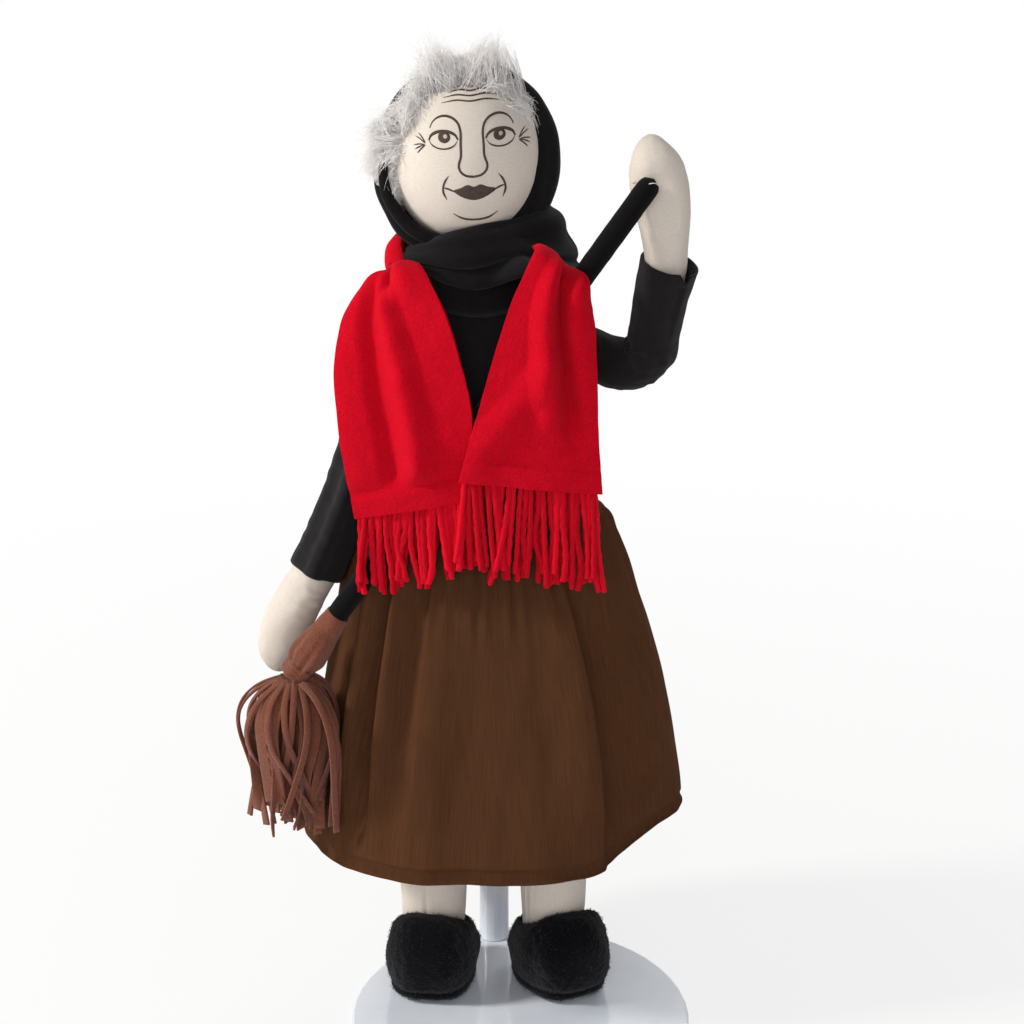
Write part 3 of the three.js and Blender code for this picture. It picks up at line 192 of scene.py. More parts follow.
def rounded(gone, first, last):
    """Shares of the full section at distances along a path with domed ends of those lengths."""
    def dome(away, size):
        return np.sqrt(1 - (1 - np.clip(away / size, 0, 1)) ** 2)

    return np.maximum(np.minimum(dome(gone, first), dome(gone[-1] - gone, last)), 0.02)


class Build:
    """Collects grids of points into one mesh piece, with cloth coordinates in millimetres."""

    def __init__(self):
        self.points, self.faces, self.cloth, self.shade = [], [], [], []
        self.count = 0

    def grid(self, grid, around=False, caps=False, size=None, shade=0.5):
        """Adds rows of points. Around joins each row's ends, and caps closes the end rows."""
        rows, cols = grid.shape[:2]
        wide, long = size or (cols, rows)
        last = cols if around else cols - 1
        low, side = np.meshgrid(np.arange(rows - 1), np.arange(last), indexing="ij")
        low, side = low.ravel(), side.ravel()
        next_side = (side + 1) % cols
        quads = np.stack([low * cols + side, low * cols + next_side,
                          (low + 1) * cols + next_side, (low + 1) * cols + side], axis=1)
        self.faces += (quads + self.count).tolist()
        u = np.stack([side, side + 1, side + 1, side], axis=1) * wide / last
        v = np.stack([low, low, low + 1, low + 1], axis=1) * long / (rows - 1)
        self.cloth.append(np.stack([u, v], axis=-1).reshape(-1, 2))
        if caps:
            ring = np.arange(cols)
            for ends in (ring[::-1] + self.count, ring + self.count + (rows - 1) * cols):
                self.faces.append(ends.tolist())
                self.cloth.append(np.zeros((cols, 2)))
        self.points.append(grid.reshape(-1, 3))
        self.shade.append(np.full(rows * cols, shade))
        self.count += rows * cols

    def piece(self, name, material, wall=0, inward=1):
        """The piece's object. A wall turns its sheet into cloth of that thickness."""
        mesh = bpy.data.meshes.new(name)
        mesh.from_pydata(world(np.concatenate(self.points)).tolist(), [], self.faces)
        mesh.uv_layers.new(name="cloth")
        mesh.uv_layers["cloth"].data.foreach_set("uv", np.concatenate(self.cloth).ravel())
        shade = mesh.attributes.new("shade", "FLOAT", "POINT")
        shade.data.foreach_set("value", np.concatenate(self.shade))
        mesh.materials.append(material)
        mesh.shade_smooth()
        piece = bpy.data.objects.new(name, mesh)
        SCENE.collection.objects.link(piece)
        if wall:
            solid = piece.modifiers.new("wall", "SOLIDIFY")
            solid.thickness = wall * MM
            solid.offset = -inward
            solid.use_quality_normals = True
        return piece


def stuffed(name, material, rings, size):
    """A padded piece from closed rings with capped ends."""
    build = Build()
    build.grid(rings, around=True, caps=True, size=size)
    piece = build.piece(name, material)
    return piece


def sewn(name, material, rings, size, wall):
    """A sheet of cloth from closed rings."""
    build = Build()
    build.grid(rings, around=True, size=size)
    piece = build.piece(name, material, wall=wall)
    return piece


def bristle(build, path, radius, shade):
    """One tapering hair or fibre along a path from its root."""
    half = radius * np.linspace(1, 0.2, len(path))
    side = np.cross(path[-1] - path[0], [0.31, 0.87, -0.38])
    build.grid(tube(path, half, half, 3, side), around=True, caps=True, shade=shade)


# Materials


class Nodes:
    """Short calls that add and link the nodes of one tree."""

    def __init__(self, tree):
        self.tree = tree

    def add(self, kind, inputs, output=0, **settings):
        node = self.tree.nodes.new("ShaderNode" + kind)
        for setting, value in settings.items():
            setattr(node, setting, value)
        for socket, value in inputs.items():
            self.feed(node.inputs[socket], value)
        return node.outputs[output]

    def feed(self, socket, value):
        if isinstance(value, bpy.types.NodeSocket):
            self.tree.links.new(value, socket)
        else:
            socket.default_value = value

    def mix(self, share, first, second):
        return self.add("Mix", {0: share, 6: first, 7: second}, output=2, data_type="RGBA")

    def math(self, operation, *values):
        return self.add("Math", dict(enumerate(values)), operation=operation)

    def range(self, value, low, high, to_low=0.0, to_high=1.0):
        return self.add("MapRange", dict(enumerate((value, low, high, to_low, to_high))))


class Paint(Nodes):
    """One node material around a Principled shader."""

    def __init__(self, name, **fixed):
        self.material = bpy.data.materials.new(name)
        self.material.use_nodes = True
        super().__init__(self.material.node_tree)
        self.shader = self.tree.nodes["Principled BSDF"]
        for words, value in fixed.items():
            self.set(words.replace("_", " "), value)

    def set(self, socket, value):
        self.feed(self.shader.inputs[socket], value)

    def place(self, stretch=(1, 1, 1), cloth=False):
        """Millimetres on the cloth, or in the piece's own space, each way stretched."""
        if cloth:
            spot = self.add("UVMap", {}, uv_map="cloth")
            return self.add("Mapping", {"Vector": spot, "Scale": stretch})
        spot = self.add("TexCoord", {}, output=3)
        scale = tuple(share / MM for share in stretch)
        return self.add("Mapping", {"Vector": spot, "Scale": scale})

    def noise(self, size, vector, detail=3.0, rough=0.55):
        """Random heights from 0 to 1, in swells of that many millimetres."""
        inputs = {"Vector": vector, "Scale": 1 / size, "Detail": detail, "Roughness": rough}
        return self.add("TexNoise", inputs)

    def relief(self, height, depth):
        """Bump of that depth in millimetres."""
        inputs = {"Height": height, "Distance": depth * MM, "Strength": 1.0}
        self.set("Normal", self.add("Bump", inputs))

    def weave(self, thread):
        """The height of a plain weave with that pitch of threads."""
        cloth = self.place(cloth=True)
        phase_per_unit = 20
        scale = 2 * math.pi / phase_per_unit / thread
        warp = self.add("TexWave", {"Vector": cloth, "Scale": scale}, bands_direction="X")
        weft = self.add("TexWave", {"Vector": cloth, "Scale": scale}, bands_direction="Y")
        checks = {"Vector": cloth, "Scale": 1 / thread, "Color1": (0, 0, 0, 1), "Color2": (1, 1, 1, 1)}
        return self.mix(self.add("TexChecker", checks), warp, weft)


def colour(red, green, blue):
    """Display red, green and blue, from 0 to 255, as a linear colour."""
    def linear(value):
        value /= 255
        return value / 12.92 if value <= 0.04045 else ((value + 0.055) / 1.055) ** 2.4
    return linear(red), linear(green), linear(blue), 1.0


def woven(name, base, worn, thread, depth, slub=(1, 1), blotch=40, **fixed):
    """Plain-woven cloth: threads, slubs along them, soft patches of a second colour, and painted shade in
    the gaps between the threads.
    """
    paint = Paint(name, **fixed)
    slubs = paint.noise(1.0, paint.place(stretch=(slub[0], slub[1], 1), cloth=True), 2.0)
    patches = paint.noise(blotch, paint.place())
    threads = paint.weave(thread)
    streaked = paint.mix(paint.range(slubs, 0.35, 0.7), base, worn)
    patched = paint.mix(paint.range(patches, 0.3, 0.75, 0.0, 0.55), streaked, worn)
    # Painted shade: the low parts of the weave, between the threads, are darkened towards 0.62 of the base
    # colour.
    dark = tuple(0.62 * part for part in base[:3]) + (1.0,)
    paint.set("Base Color", paint.mix(paint.range(threads, 0.0, 0.55, 0.35, 0.0), patched, dark))
    paint.relief(paint.math("MULTIPLY_ADD", slubs, 0.8, threads), depth)
    return paint.material


def napped(name, base, deep, fibre, depth, clump=6.0, **fixed):
    """Brushed or felted cloth: a nap whose hollows take the second colour, painted shade where that colour
    is darker, with the base colour on the fibre ends and soft patches of the second colour.
    """
    paint = Paint(name, **fixed)
    spot = paint.place()
    fibres = paint.noise(fibre, spot, 4.0, 0.65)
    clumps = paint.noise(clump, spot)
    patches = paint.noise(6 * clump, spot)
    # Painted shade: the fibre height, which also makes the bump, mixes the second colour into the nap's
    # hollows. It is darker on the fleece, felt and plush, and paler on the ink.
    hollow_shade_and_ink_tone = paint.mix(paint.range(fibres, 0.36, 0.62), deep, base)
    paint.set("Base Color", paint.mix(paint.range(patches, 0.35, 0.7, 0.0, 0.3), hollow_shade_and_ink_tone, deep))
    paint.relief(paint.math("MULTIPLY_ADD", clumps, 1.5, fibres), depth)
    return paint.material


def strands(name, light, dark, fibre, depth, **fixed):
    """Yarn or hair: each strand has its own shade between two colours."""
    paint = Paint(name, **fixed)
    shade = paint.add("Attribute", {}, output=2, attribute_name="shade")
    fibres = paint.noise(fibre, paint.place(), 3.0)
    own_shade = paint.math("ADD", shade, paint.range(fibres, 0.3, 0.7, -0.3, 0.3))
    paint.set("Base Color", paint.mix(own_shade, dark, light))
    paint.relief(fibres, depth)
    return paint.material


def gloss(name, base, tint, rough, grain, **fixed):
    """Smooth moulded or drawn surface with faint clouding and a fine waviness."""
    paint = Paint(name, **fixed)
    spot = paint.place()
    cloud = paint.noise(25, spot)
    fine = paint.noise(grain, spot)
    paint.set("Base Color", paint.mix(paint.range(cloud, 0.3, 0.7), base, tint))
    paint.set("Roughness", paint.range(fine, 0.2, 0.8, 0.8 * rough, 1.25 * rough))
    paint.relief(fine, 0.02)
    return paint.material


CALICO = woven("calico", colour(238, 228, 217), colour(228, 216, 203), 0.55, 0.1, (0.5, 1.3), 16,
               Roughness=0.92, Specular_IOR_Level=0.2, Sheen_Weight=0.1, Sheen_Roughness=0.6)
BLOUSE = woven("black_cotton", colour(25, 23, 25), colour(35, 32, 34), 0.5, 0.1, (1.4, 0.2), 30,
               Roughness=0.9, Specular_IOR_Level=0.06, Sheen_Weight=0.1, Sheen_Roughness=0.5)
KERCHIEF = woven("kerchief_cotton", colour(17, 16, 18), colour(27, 25, 27), 0.42, 0.08, (0.3, 1.3), 24,
                 Roughness=0.85, Specular_IOR_Level=0.04, Sheen_Weight=0.07, Sheen_Roughness=0.45)
SKIRT = woven("skirt_cotton", colour(97, 63, 41), colour(79, 50, 34), 0.6, 0.14, (1.7, 0.05), 45,
              Roughness=0.95, Specular_IOR_Level=0.03, Sheen_Weight=0.06, Sheen_Roughness=0.55,
              Sheen_Tint=colour(190, 130, 80))
# The second colours of the fleece, felt and plush are painted shade. Napped lays them into the hollows of
# the nap and into soft random patches.
FLEECE = napped("red_fleece", colour(212, 6, 34), colour(176, 2, 24), 0.5, 0.22, 2.2,
                Roughness=1.0, Specular_IOR_Level=0.1, Sheen_Weight=0.15, Sheen_Roughness=0.5,
                Sheen_Tint=colour(255, 60, 80))
FELT = napped("brown_felt", colour(140, 82, 60), colour(92, 50, 37), 0.45, 0.2, 1.6,
              Roughness=1.0, Specular_IOR_Level=0.1, Sheen_Weight=0.15, Sheen_Roughness=0.6)
PLUSH = napped("black_plush", colour(21, 21, 25), colour(8, 8, 10), 0.6, 0.5, 2.4,
               Roughness=1.0, Specular_IOR_Level=0.05, Sheen_Weight=0.12, Sheen_Roughness=0.4)
STICK_COVER = woven("stick_cotton", colour(13, 12, 14), colour(20, 19, 20), 0.5, 0.1, (0.3, 1.5), 20,
                    Roughness=0.9, Specular_IOR_Level=0.03, Sheen_Weight=0.05, Sheen_Roughness=0.5)
YARN = strands("red_yarn", colour(220, 9, 37), colour(168, 2, 22), 0.4, 0.2,
               Roughness=1.0, Specular_IOR_Level=0.1, Sheen_Weight=0.2, Sheen_Tint=colour(255, 90, 100))
FUR = strands("grey_fur", colour(254, 252, 251), colour(232, 228, 226), 2.0, 0.05,
              Roughness=0.7, Specular_IOR_Level=0.3, Sheen_Weight=0.1)
PILE = strands("plush_pile", colour(58, 60, 70), colour(10, 10, 13), 2.0, 0.05,
               Roughness=0.9, Specular_IOR_Level=0.1, Sheen_Weight=0.15, Sheen_Roughness=0.4)
INK = napped("ink", colour(66, 54, 50), colour(92, 78, 72), 0.5, 0.03, 3.0, Roughness=0.9,
             Specular_IOR_Level=0.1)
THREAD_WHITE = strands("white_thread", colour(240, 236, 230), colour(214, 208, 200), 0.5, 0.05,
                       Roughness=0.8)
THREAD_DARK = strands("dark_thread", colour(50, 32, 25), colour(34, 22, 17), 0.5, 0.05, Roughness=0.9)
WHITE_PLASTIC = gloss("white_plastic", colour(236, 241, 249), colour(226, 233, 244), 0.16, 1.2,
                      Coat_Weight=0.5, Coat_Roughness=0.06)
STEEL = gloss("zinc_steel", colour(190, 192, 196), colour(170, 173, 178), 0.3, 0.4, Metallic=1.0)
VINYL = gloss("soft_vinyl", colour(224, 226, 228), colour(210, 213, 216), 0.5, 0.8)


def set_up_camera():
    """The camera that the ellipse of the base gives, at the photograph's angle."""
    floor_distance, tilt, base_top, pixels_per_metre = 0.90, math.radians(32), 0.004, 2000
    image, base_row, base_column, sensor = 1024, 1011, 519.7, 36
    middle = image / 2
    focal_pixels = pixels_per_metre * floor_distance / math.cos(tilt)
    pitch = tilt - math.atan((base_row - middle) / focal_pixels)
    height = base_top + floor_distance * math.tan(tilt)
    data = bpy.data.cameras.new("camera")
    data.sensor_width = sensor
    data.lens = sensor * focal_pixels / image
    camera = bpy.data.objects.new("camera", data)
    camera.location = ((middle - base_column) / pixels_per_metre, -floor_distance, height)
    camera.rotation_euler = (math.pi / 2 - pitch, 0, 0)
    SCENE.collection.objects.link(camera)
    SCENE.camera = camera
    SCENE.view_settings.view_transform = "Standard"


def lamp(name, place, size, power, tint):
    """A square lamp that points at the middle of the doll."""
    light = bpy.data.lights.new(name, "AREA")
    light.size = size
    light.energy = power
    light.color = tint
    made = bpy.data.objects.new(name, light)
    made.location = place
    doll_middle = Vector((0, 0.02, 0.24))
    made.rotation_euler = (doll_middle - made.location).to_track_quat("-Z", "Y").to_euler()
    SCENE.collection.objects.link(made)


def set_up_light():
    """Soft light from the doll's right, under an even sky that shows as white."""
    lamp("key", (-1.9, -0.3, 1.4), size=0.35, power=42, tint=(1.0, 0.97, 0.92))
    lamp("front", (-0.2, -2.0, 0.9), size=1.2, power=12, tint=(0.98, 0.98, 1.0))
    lamp("back", (0.7, 1.6, 1.3), size=1.0, power=10, tint=(1.0, 0.98, 0.95))
    sky = bpy.data.worlds.new("sky")
    sky.use_nodes = True
    SCENE.world = sky
    nodes = Nodes(sky.node_tree)
    seen = nodes.add("LightPath", {}).node.outputs
    glossy = nodes.math("MAXIMUM", seen["Is Glossy Ray"], seen["Is Transmission Ray"])
    shown = nodes.math("MAXIMUM", seen["Is Camera Ray"], glossy)
    sky_light, white = 0.34, 1.0
    background = sky.node_tree.nodes["Background"].inputs
    nodes.feed(background["Color"], (1, 1, 1, 1))
    nodes.feed(background["Strength"], nodes.range(shown, 0.0, 1.0, sky_light, white))


def set_up_floor():
    """A pale floor that keeps the shadow near the doll and fades to white further off."""
    floor = Paint("pale_floor", Roughness=0.9, Specular_IOR_Level=0.1)
    floor.set("Base Color", (0.86, 0.86, 0.86, 1))
    seen = floor.add("LightPath", {}).node.outputs
    white = floor.add("Emission", {"Color": (1, 1, 1, 1), "Strength": 1.0})
    spot = floor.add("TexCoord", {}, output=3)
    away = floor.add("VectorMath", {0: spot}, output=1, operation="LENGTH")
    near, far, near_white = 0.2, 0.9, 0.76
    share = floor.math("MULTIPLY", seen["Is Camera Ray"], floor.range(away, near, far, near_white, 1.0))
    both = floor.add("MixShader", {0: share, 1: floor.shader.outputs[0], 2: white})
    floor.feed(floor.tree.nodes["Material Output"].inputs["Surface"], both)
    ground = Build()
    edge = np.array([-6000.0, 6000.0])
    ground.grid(spots(edge, edge[:, None], 0))
    ground.piece("floor", floor.material)


set_up_camera()
set_up_light()
set_up_floor()


def carry(piece, body, slot, *nodes):
    """The piece rides on a body and stands for these nodes, which are hidden; the slot is not used."""
    if nodes:
        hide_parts(*nodes)
    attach(piece, body)


def bend(piece, side, slot, *nodes):
    """The piece has its placing baked into its mesh and stands for these nodes, which are hidden; the side
    is not used.
    """
    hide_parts(*nodes)
    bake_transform(piece)


# Rigid pieces of the stand keep their solids

FINISHES = {"stand_base": WHITE_PLASTIC, "stand_post": WHITE_PLASTIC, "clip_collar": WHITE_PLASTIC,
            "post_screw": STEEL, "clip_wire": STEEL,
            "clip_sleeve_left": VINYL, "clip_sleeve_right": VINYL}


def finish_stand():
    for name, material in FINISHES.items():
        solid = frame["nodes"][name]
        solid.data.materials.clear()
        solid.data.materials.append(material)
        solid.data.shade_smooth()
        crease = solid.modifiers.new("crease", "EDGE_SPLIT")
        crease.split_angle = math.radians(35)


finish_stand()

# Body and bodice


def lean(z):
    """The middle of the body, which leans to its right as it rises to the neck."""
    bottom, neck = 180.0, 354.0
    return NECK[0] * (np.minimum(z, neck) - bottom) / (neck - bottom)


BODY_LEVELS = [180, 185, 194, 260, 298, 332, 345, 354, 380]
body_width = through(BODY_LEVELS, [34, 42.3, 46, 45, 34, 31, 18.5, 13, 12.6])
body_depth = through(BODY_LEVELS, [15.7, 20.2, 22.5, 25, 26, 20, 15.5, 13, 12.6])


def body_rings(levels, grow, sides):
    angle = turns(sides) * 2 * np.pi
    z = levels[:, None]
    x = lean(z) + (body_width(z) + grow) * np.cos(angle)
    y = (body_depth(z) + grow) * np.sin(angle)
    return spots(x, y, z)


def make_body():
    rings = body_rings(np.linspace(BODY_LEVELS[0], BODY_LEVELS[-1], 90), -0.3, 64)
    rings += grid_normals(rings) * 0.5 * lumps(rings, 22, 1)[..., None]
    carry(stuffed("stuffed_body", CALICO, rings, (200, 200)), "trunk", "calico", "body")


def make_bodice():
    rings = body_rings(np.linspace(239, 366, 106), 2.0, 140)
    soft = lumps(rings * [1, 1, 0.35], 26, 2) + 0.4 * lumps(rings, 9, 3)
    rings += grid_normals(rings) * 0.55 * soft[..., None]
    piece = sewn("blouse_bodice_cloth", BLOUSE, rings, (210, 120), 1.2)
    carry(piece, "trunk", "black_cotton", "blouse_bodice")


make_body()
make_bodice()

# Head and face

HEAD_HALF = np.array([34.0, 32.0, 37.0])
HEAD = np.array([NECK[0] - 3.0, 0, own(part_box("head")[1])[2] - HEAD_HALF[2]])


def head_front(x, z, proud):
    """The head's front surface at x and z, standing that far proud."""
    u = (x - HEAD[0]) / HEAD_HALF[0]
    w = (z - HEAD[2]) / HEAD_HALF[2]
    point = spots(x, -HEAD_HALF[1] * np.sqrt(np.clip(1 - u * u - w * w, 0.02, 1)), z)
    return point + proud * unit((point - HEAD) / HEAD_HALF**2)


def make_head():
    rows, cols = 120, 180
    tilt = np.linspace(-0.495, 0.5, rows)[:, None] * np.pi
    angle = turns(cols) * 2 * np.pi
    ball = spots(np.cos(tilt) * np.cos(angle), np.cos(tilt) * np.sin(angle), np.sin(tilt))
    points = HEAD + ball * HEAD_HALF
    points += ball * 0.05 * lumps(points, 18, 4)[..., None]
    carry(stuffed("stuffed_head", CALICO, points, (210, 110)), "head_whole", "calico", "head")


FACE_X, FACE_Z, FACE_TILT = HEAD[0] + 2.6, HEAD[2] + 8.5, math.radians(2.5)


def on_face(flat, proud):
    """Drawn [across, up] points about the tilted face's middle, on the head's front."""
    across, up = np.asarray(flat, float).T
    x = across * math.cos(FACE_TILT) - up * math.sin(FACE_TILT)
    z = across * math.sin(FACE_TILT) + up * math.cos(FACE_TILT)
    return head_front(FACE_X + x, FACE_Z + z, proud)


def stroke(build, points, width, taper=(0.3, 0.3)):
    """A drawn line through [across, up] points about the face's middle, thinner at its ends."""
    flat = path_through(points, 26)
    along = unit(np.gradient(flat, axis=0))
    side = np.stack([-along[:, 1], along[:, 0]], axis=1)
    t = np.linspace(0, 1, len(flat))
    pen = taper[0] + (1 - taper[0]) * ease(0, 0.25, t)
    pen *= taper[1] + (1 - taper[1]) * ease(0, 0.25, 1 - t)
    half = (width / 2 * pen)[:, None]
    under, over = -0.3, 0.14
    edges = [on_face(flat + across * half * side, proud)
             for across, proud in ((-1, under), (1, under), (1, over), (-1, over))]
    build.grid(np.stack(edges, axis=1)[:, ::-1], around=True, caps=True)


def arc(middle, radius, start, end, count=7):
    """Points on an oval about a middle, between two angles in degrees."""
    angle = np.radians(np.linspace(start, end, count))
    return np.stack([middle[0] + radius[0] * np.cos(angle), middle[1] + radius[1] * np.sin(angle)], axis=1)


def disc(build, outline, proud):
    """A filled shape on the face, from its outline."""
    centre = outline.mean(0)
    rings = [centre + (outline - centre) * share for share in (0.02, 0.35, 0.7, 1)]
    front = [on_face(ring, proud) for ring in rings]
    back = [on_face(rings[-1], -0.25)]
    build.grid(np.stack(front + back), around=True, caps=True)


def make_face():
    """A plain old woman's face in ink: brow lines, brows into a long nose, eyes, lips and creases."""
    ink = Build()
    for rise, half in ((20.6, 12.5), (22.6, 11.5), (24.4, 9.5), (25.9, 7.0)):
        stroke(ink, [(-half, rise - 0.8), (-half / 2, rise + 0.2), (0, rise - 0.3), (half / 2, rise + 0.2),
                     (half, rise - 0.8)], 0.55)
    nose_low, nose_half = -9.6, 6.1
    for side in (-1, 1):
        brow = arc((side * 11.4, 8.8), (side * 6.6, 6.2), 12, 176, 9)
        nose = [(side * 4.9, 3.5), (side * 5.0, -1.5), (side * nose_half, -6.0),
                (side * 5.4, nose_low + 1.7)]
        stroke(ink, [*brow, *nose, (side * 3.2, nose_low), (0, nose_low - 0.5)], 1.0, (0.35, 1))
        eye = (side * 12.2, 5.0)
        stroke(ink, arc(eye, (side * 6.3, 4.0), 4, 174), 1.2, (0.5, 0.6))
        stroke(ink, arc((eye[0], eye[1] + 1), (side * 6.2, 4.2), -8, -165), 0.65)
        disc(ink, arc((eye[0] - side * 0.4, eye[1] + 1.6), (2.6, 2.4), 0, 345, 24), 0.15)
        for fan in (-0.75, -0.42, -0.1, 0.6, 0.95):
            start = np.array([side * 19.6, eye[1] - 1.4])
            way = np.array([side * math.cos(fan), math.sin(fan)])
            stroke(ink, [start + 0.6 * way, start + 3 * way + [0, 0.3], start + 5.6 * way], 0.5)
        crease = [(side * 10.6, -9.4), (side * 12.6, -12.4), (side * 13.4, -16), (side * 12.0, -20)]
        stroke(ink, crease, 0.85)
        stroke(ink, [(side * 8.6, -16.4), (side * 11, -15.2), (side * 13, -14.6)], 0.75)
    lips = [(-9.4, -15.9), (-6, -14.9), (-2.5, -13.6), (0, -14.5), (2.5, -13.6), (6, -14.9), (9.4, -15.9),
            (6.2, -18.4), (2.5, -20), (0, -20.4), (-2.5, -20), (-6.2, -18.4)]
    loop = path_through([*lips, lips[0]], 60)[:-1]
    disc(ink, loop[::-1], 0.15)
    stroke(ink, [(-9.6, -26.4), (-6, -28.6), (0, -29.6), (6, -28.6), (9.6, -26.4)], 0.9)
    carry(ink.piece("face_lines", INK), "head_whole", "calico")

    glint = Build()
    for side in (-1, 1):
        disc(glint, arc((side * 11.8 + 0.5, 6.9), (0.85, 0.9), 0, 340, 16), 0.16)
    carry(glint.piece("eye_glints", CALICO), "head_whole", "calico")


make_head()
make_face()

# Skirt and its waistband

SKIRT_TOP, HEM = 253.6, 88.6
WAIST_X = float(lean(SKIRT_TOP))


def wheel(degrees, values):
    """A smooth closed curve of values at rising angles in degrees, for any angle in radians."""
    turn = np.asarray(degrees, float)
    at = through(np.r_[turn - 360, turn, turn + 360], np.r_[values, values, values])
    return lambda angle: at(np.degrees(angle) % 360)


hem_reach = wheel([5, 22, 45, 70, 90, 110, 135, 160, 185, 197, 214, 226, 240, 252, 268, 286, 298, 308, 316,
                   325, 335, 346, 355],
                  [92.5, 95, 88, 82, 75, 78, 84, 93, 91.5, 88, 84, 78, 72.5, 68.5, 66, 65.5, 69, 72, 74,
                   74.5, 76, 81, 87.5])
spread_right = through([0, 0.09, 0.18, 0.33, 0.56, 0.82, 0.93, 1], [0, 0.22, 0.37, 0.5, 0.7, 0.92, 0.99, 1])
spread_left = through([0, 0.02, 0.09, 0.15, 0.28, 0.41, 0.54, 0.8, 0.93, 1],
                      [0, 0.11, 0.25, 0.34, 0.5, 0.64, 0.77, 0.94, 0.99, 1])
spread_front = through([0, 0.12, 0.5, 1], [0, 0.2, 0.58, 1])
spread_back = through([0, 0.149, 0.276, 1], [0, 0.47, 0.63, 1])


def hill(turn, middle, half):
    """A smooth hill of height 1 about an angle in degrees, nothing past its half width."""
    return bump((turn - middle + 180) % 360 - 180, 0, half)


def hills_round(turn, *hills):
    """The sum of smooth hills and hollows round a turn, each with its height, middle and half width."""
    return sum(height * hill(turn, middle, half) for height, middle, half in hills)


def pleat(angle, drop):
    """How far the skirt's folds stand out, round the doll and down from the waist."""
    turn = np.degrees(angle) % 360
    deep = hills_round(turn, (7.5, 211.5, 5.5), (6.5, 223.5, 5.5), (-6.5, 217.5, 5), (-4.5, 204, 6),
                       (-2.5, 232, 6))
    upper = ease(0.02, 0.2, drop) * (1 - ease(0.6, 0.97, drop))
    waves = 2.6 * np.cos(np.radians(9 * turn)) + 0.9 * np.sin(np.radians(14 * turn + 40))
    soft = hills_round(turn, (1.6, 289, 14), (1.0, 240, 11), (-2.2, 260, 17)) + waves * hill(turn, 90, 85)
    over = ease(314.5, 318, turn)
    crisp = 6.5 * ease(294, 314, turn) * (1 - over) - 7.0 * over * (1 - ease(319, 344, turn))
    crisp = crisp * ease(0.06, 0.4, drop) * (1 - 0.8 * ease(0.76, 1, drop))
    gathers = np.sin(np.radians(31 * turn)) + 0.6 * np.sin(np.radians(47 * turn + 80))
    short = 0.9 * ease(0, 0.03, drop) * (1 - ease(0.05, 0.4, drop))
    return deep * upper + soft * ease(0.1, 0.6, drop) + crisp + gathers * short


def skirt_reach(angle, drop):
    """How far the skirt stands from its middle, at an angle and a share of the way down."""
    over_band = 4.4
    wide, deep = body_width(SKIRT_TOP) + over_band, body_depth(SKIRT_TOP) + over_band
    top = 1 / np.hypot(np.cos(angle) / wide, np.sin(angle) / deep)
    facing = np.cos(angle) ** 2
    ahead = np.where(np.sin(angle) < 0, spread_front(drop), spread_back(drop))
    aside = np.where(np.cos(angle) > 0, spread_left(drop), spread_right(drop))
    spread = aside * facing + ahead * (1 - facing)
    return top * (1 - spread) + hem_reach(angle) * spread + pleat(angle, drop)


def skirt_rings(drops, sides):
    angle = turns(sides) * 2 * np.pi
    drop = drops[:, None]
    reach = skirt_reach(angle, drop)
    rise = 8.0 * hill(np.degrees(angle), 350, 45)
    z = SKIRT_TOP - drop * (SKIRT_TOP - HEM - rise)
    x = WAIST_X * (1 - drop) + reach * np.cos(angle)
    return spots(x, reach * np.sin(angle), z)


def off_skirt(points, clear):
    """The same points, moved out where they would lie nearer to the skirt than that."""
    x, y, z = points.T
    drop = np.clip((SKIRT_TOP - z) / (SKIRT_TOP - HEM), 0, 1)
    middle = WAIST_X * (1 - drop)
    angle = np.arctan2(y, x - middle)
    reach = np.maximum(np.hypot(x - middle, y), skirt_reach(angle, drop) + clear)
    return spots(middle + reach * np.cos(angle), reach * np.sin(angle), z)


def make_skirt():
    hem = 0.958
    drops = np.r_[np.linspace(0, hem - 0.003, 130), np.linspace(hem, 1, 14)]
    rings = skirt_rings(drops, 420)
    facing = grid_normals(rings)
    turned_up = ease(hem, hem + 0.006, drops) * 0.6
    curl = -1.1 * ease(0.986, 1.0, drops) ** 2
    ripple = 0.35 * lumps(rings * [1, 1, 0.25], 14, 11) + 0.7 * lumps(rings * [1, 1, 0.4], 40, 12)
    ripple *= ease(0, 0.1, drops)[:, None]
    rings += facing * (ripple + (turned_up + curl)[:, None])[..., None]
    piece = sewn("skirt_cloth", SKIRT, rings[:, ::-1], (520, 175), 1.1)
    carry(piece, "trunk", "skirt_cotton", "skirt")


def make_waistband():
    sides, middle, half = 220, 259.7, 7.2
    levels = np.linspace(253, 266.5, 16)
    rings = body_rings(levels, 3.4, sides)
    angle = turns(sides) * 2 * np.pi
    swell = np.sqrt(np.clip(1 - ((levels - middle) / half) ** 2, 0, 1))
    puckers = 0.25 * np.sin(43 * angle) + 0.2 * np.sin(61 * angle + 1)
    rings += grid_normals(rings) * (0.8 * swell[:, None] + puckers)[..., None]
    piece = sewn("skirt_band", SKIRT, rings[:, ::-1], (300, 14), 1.6)
    carry(piece, "trunk", "skirt_cotton", "skirt_waistband")


make_waistband()
make_skirt()

# Scarf: each row of the fleece runs from its outer edge to its inner edge, from the end over the
# doll's right side, up, round the back of the neck, and down the left side in front of the stick.

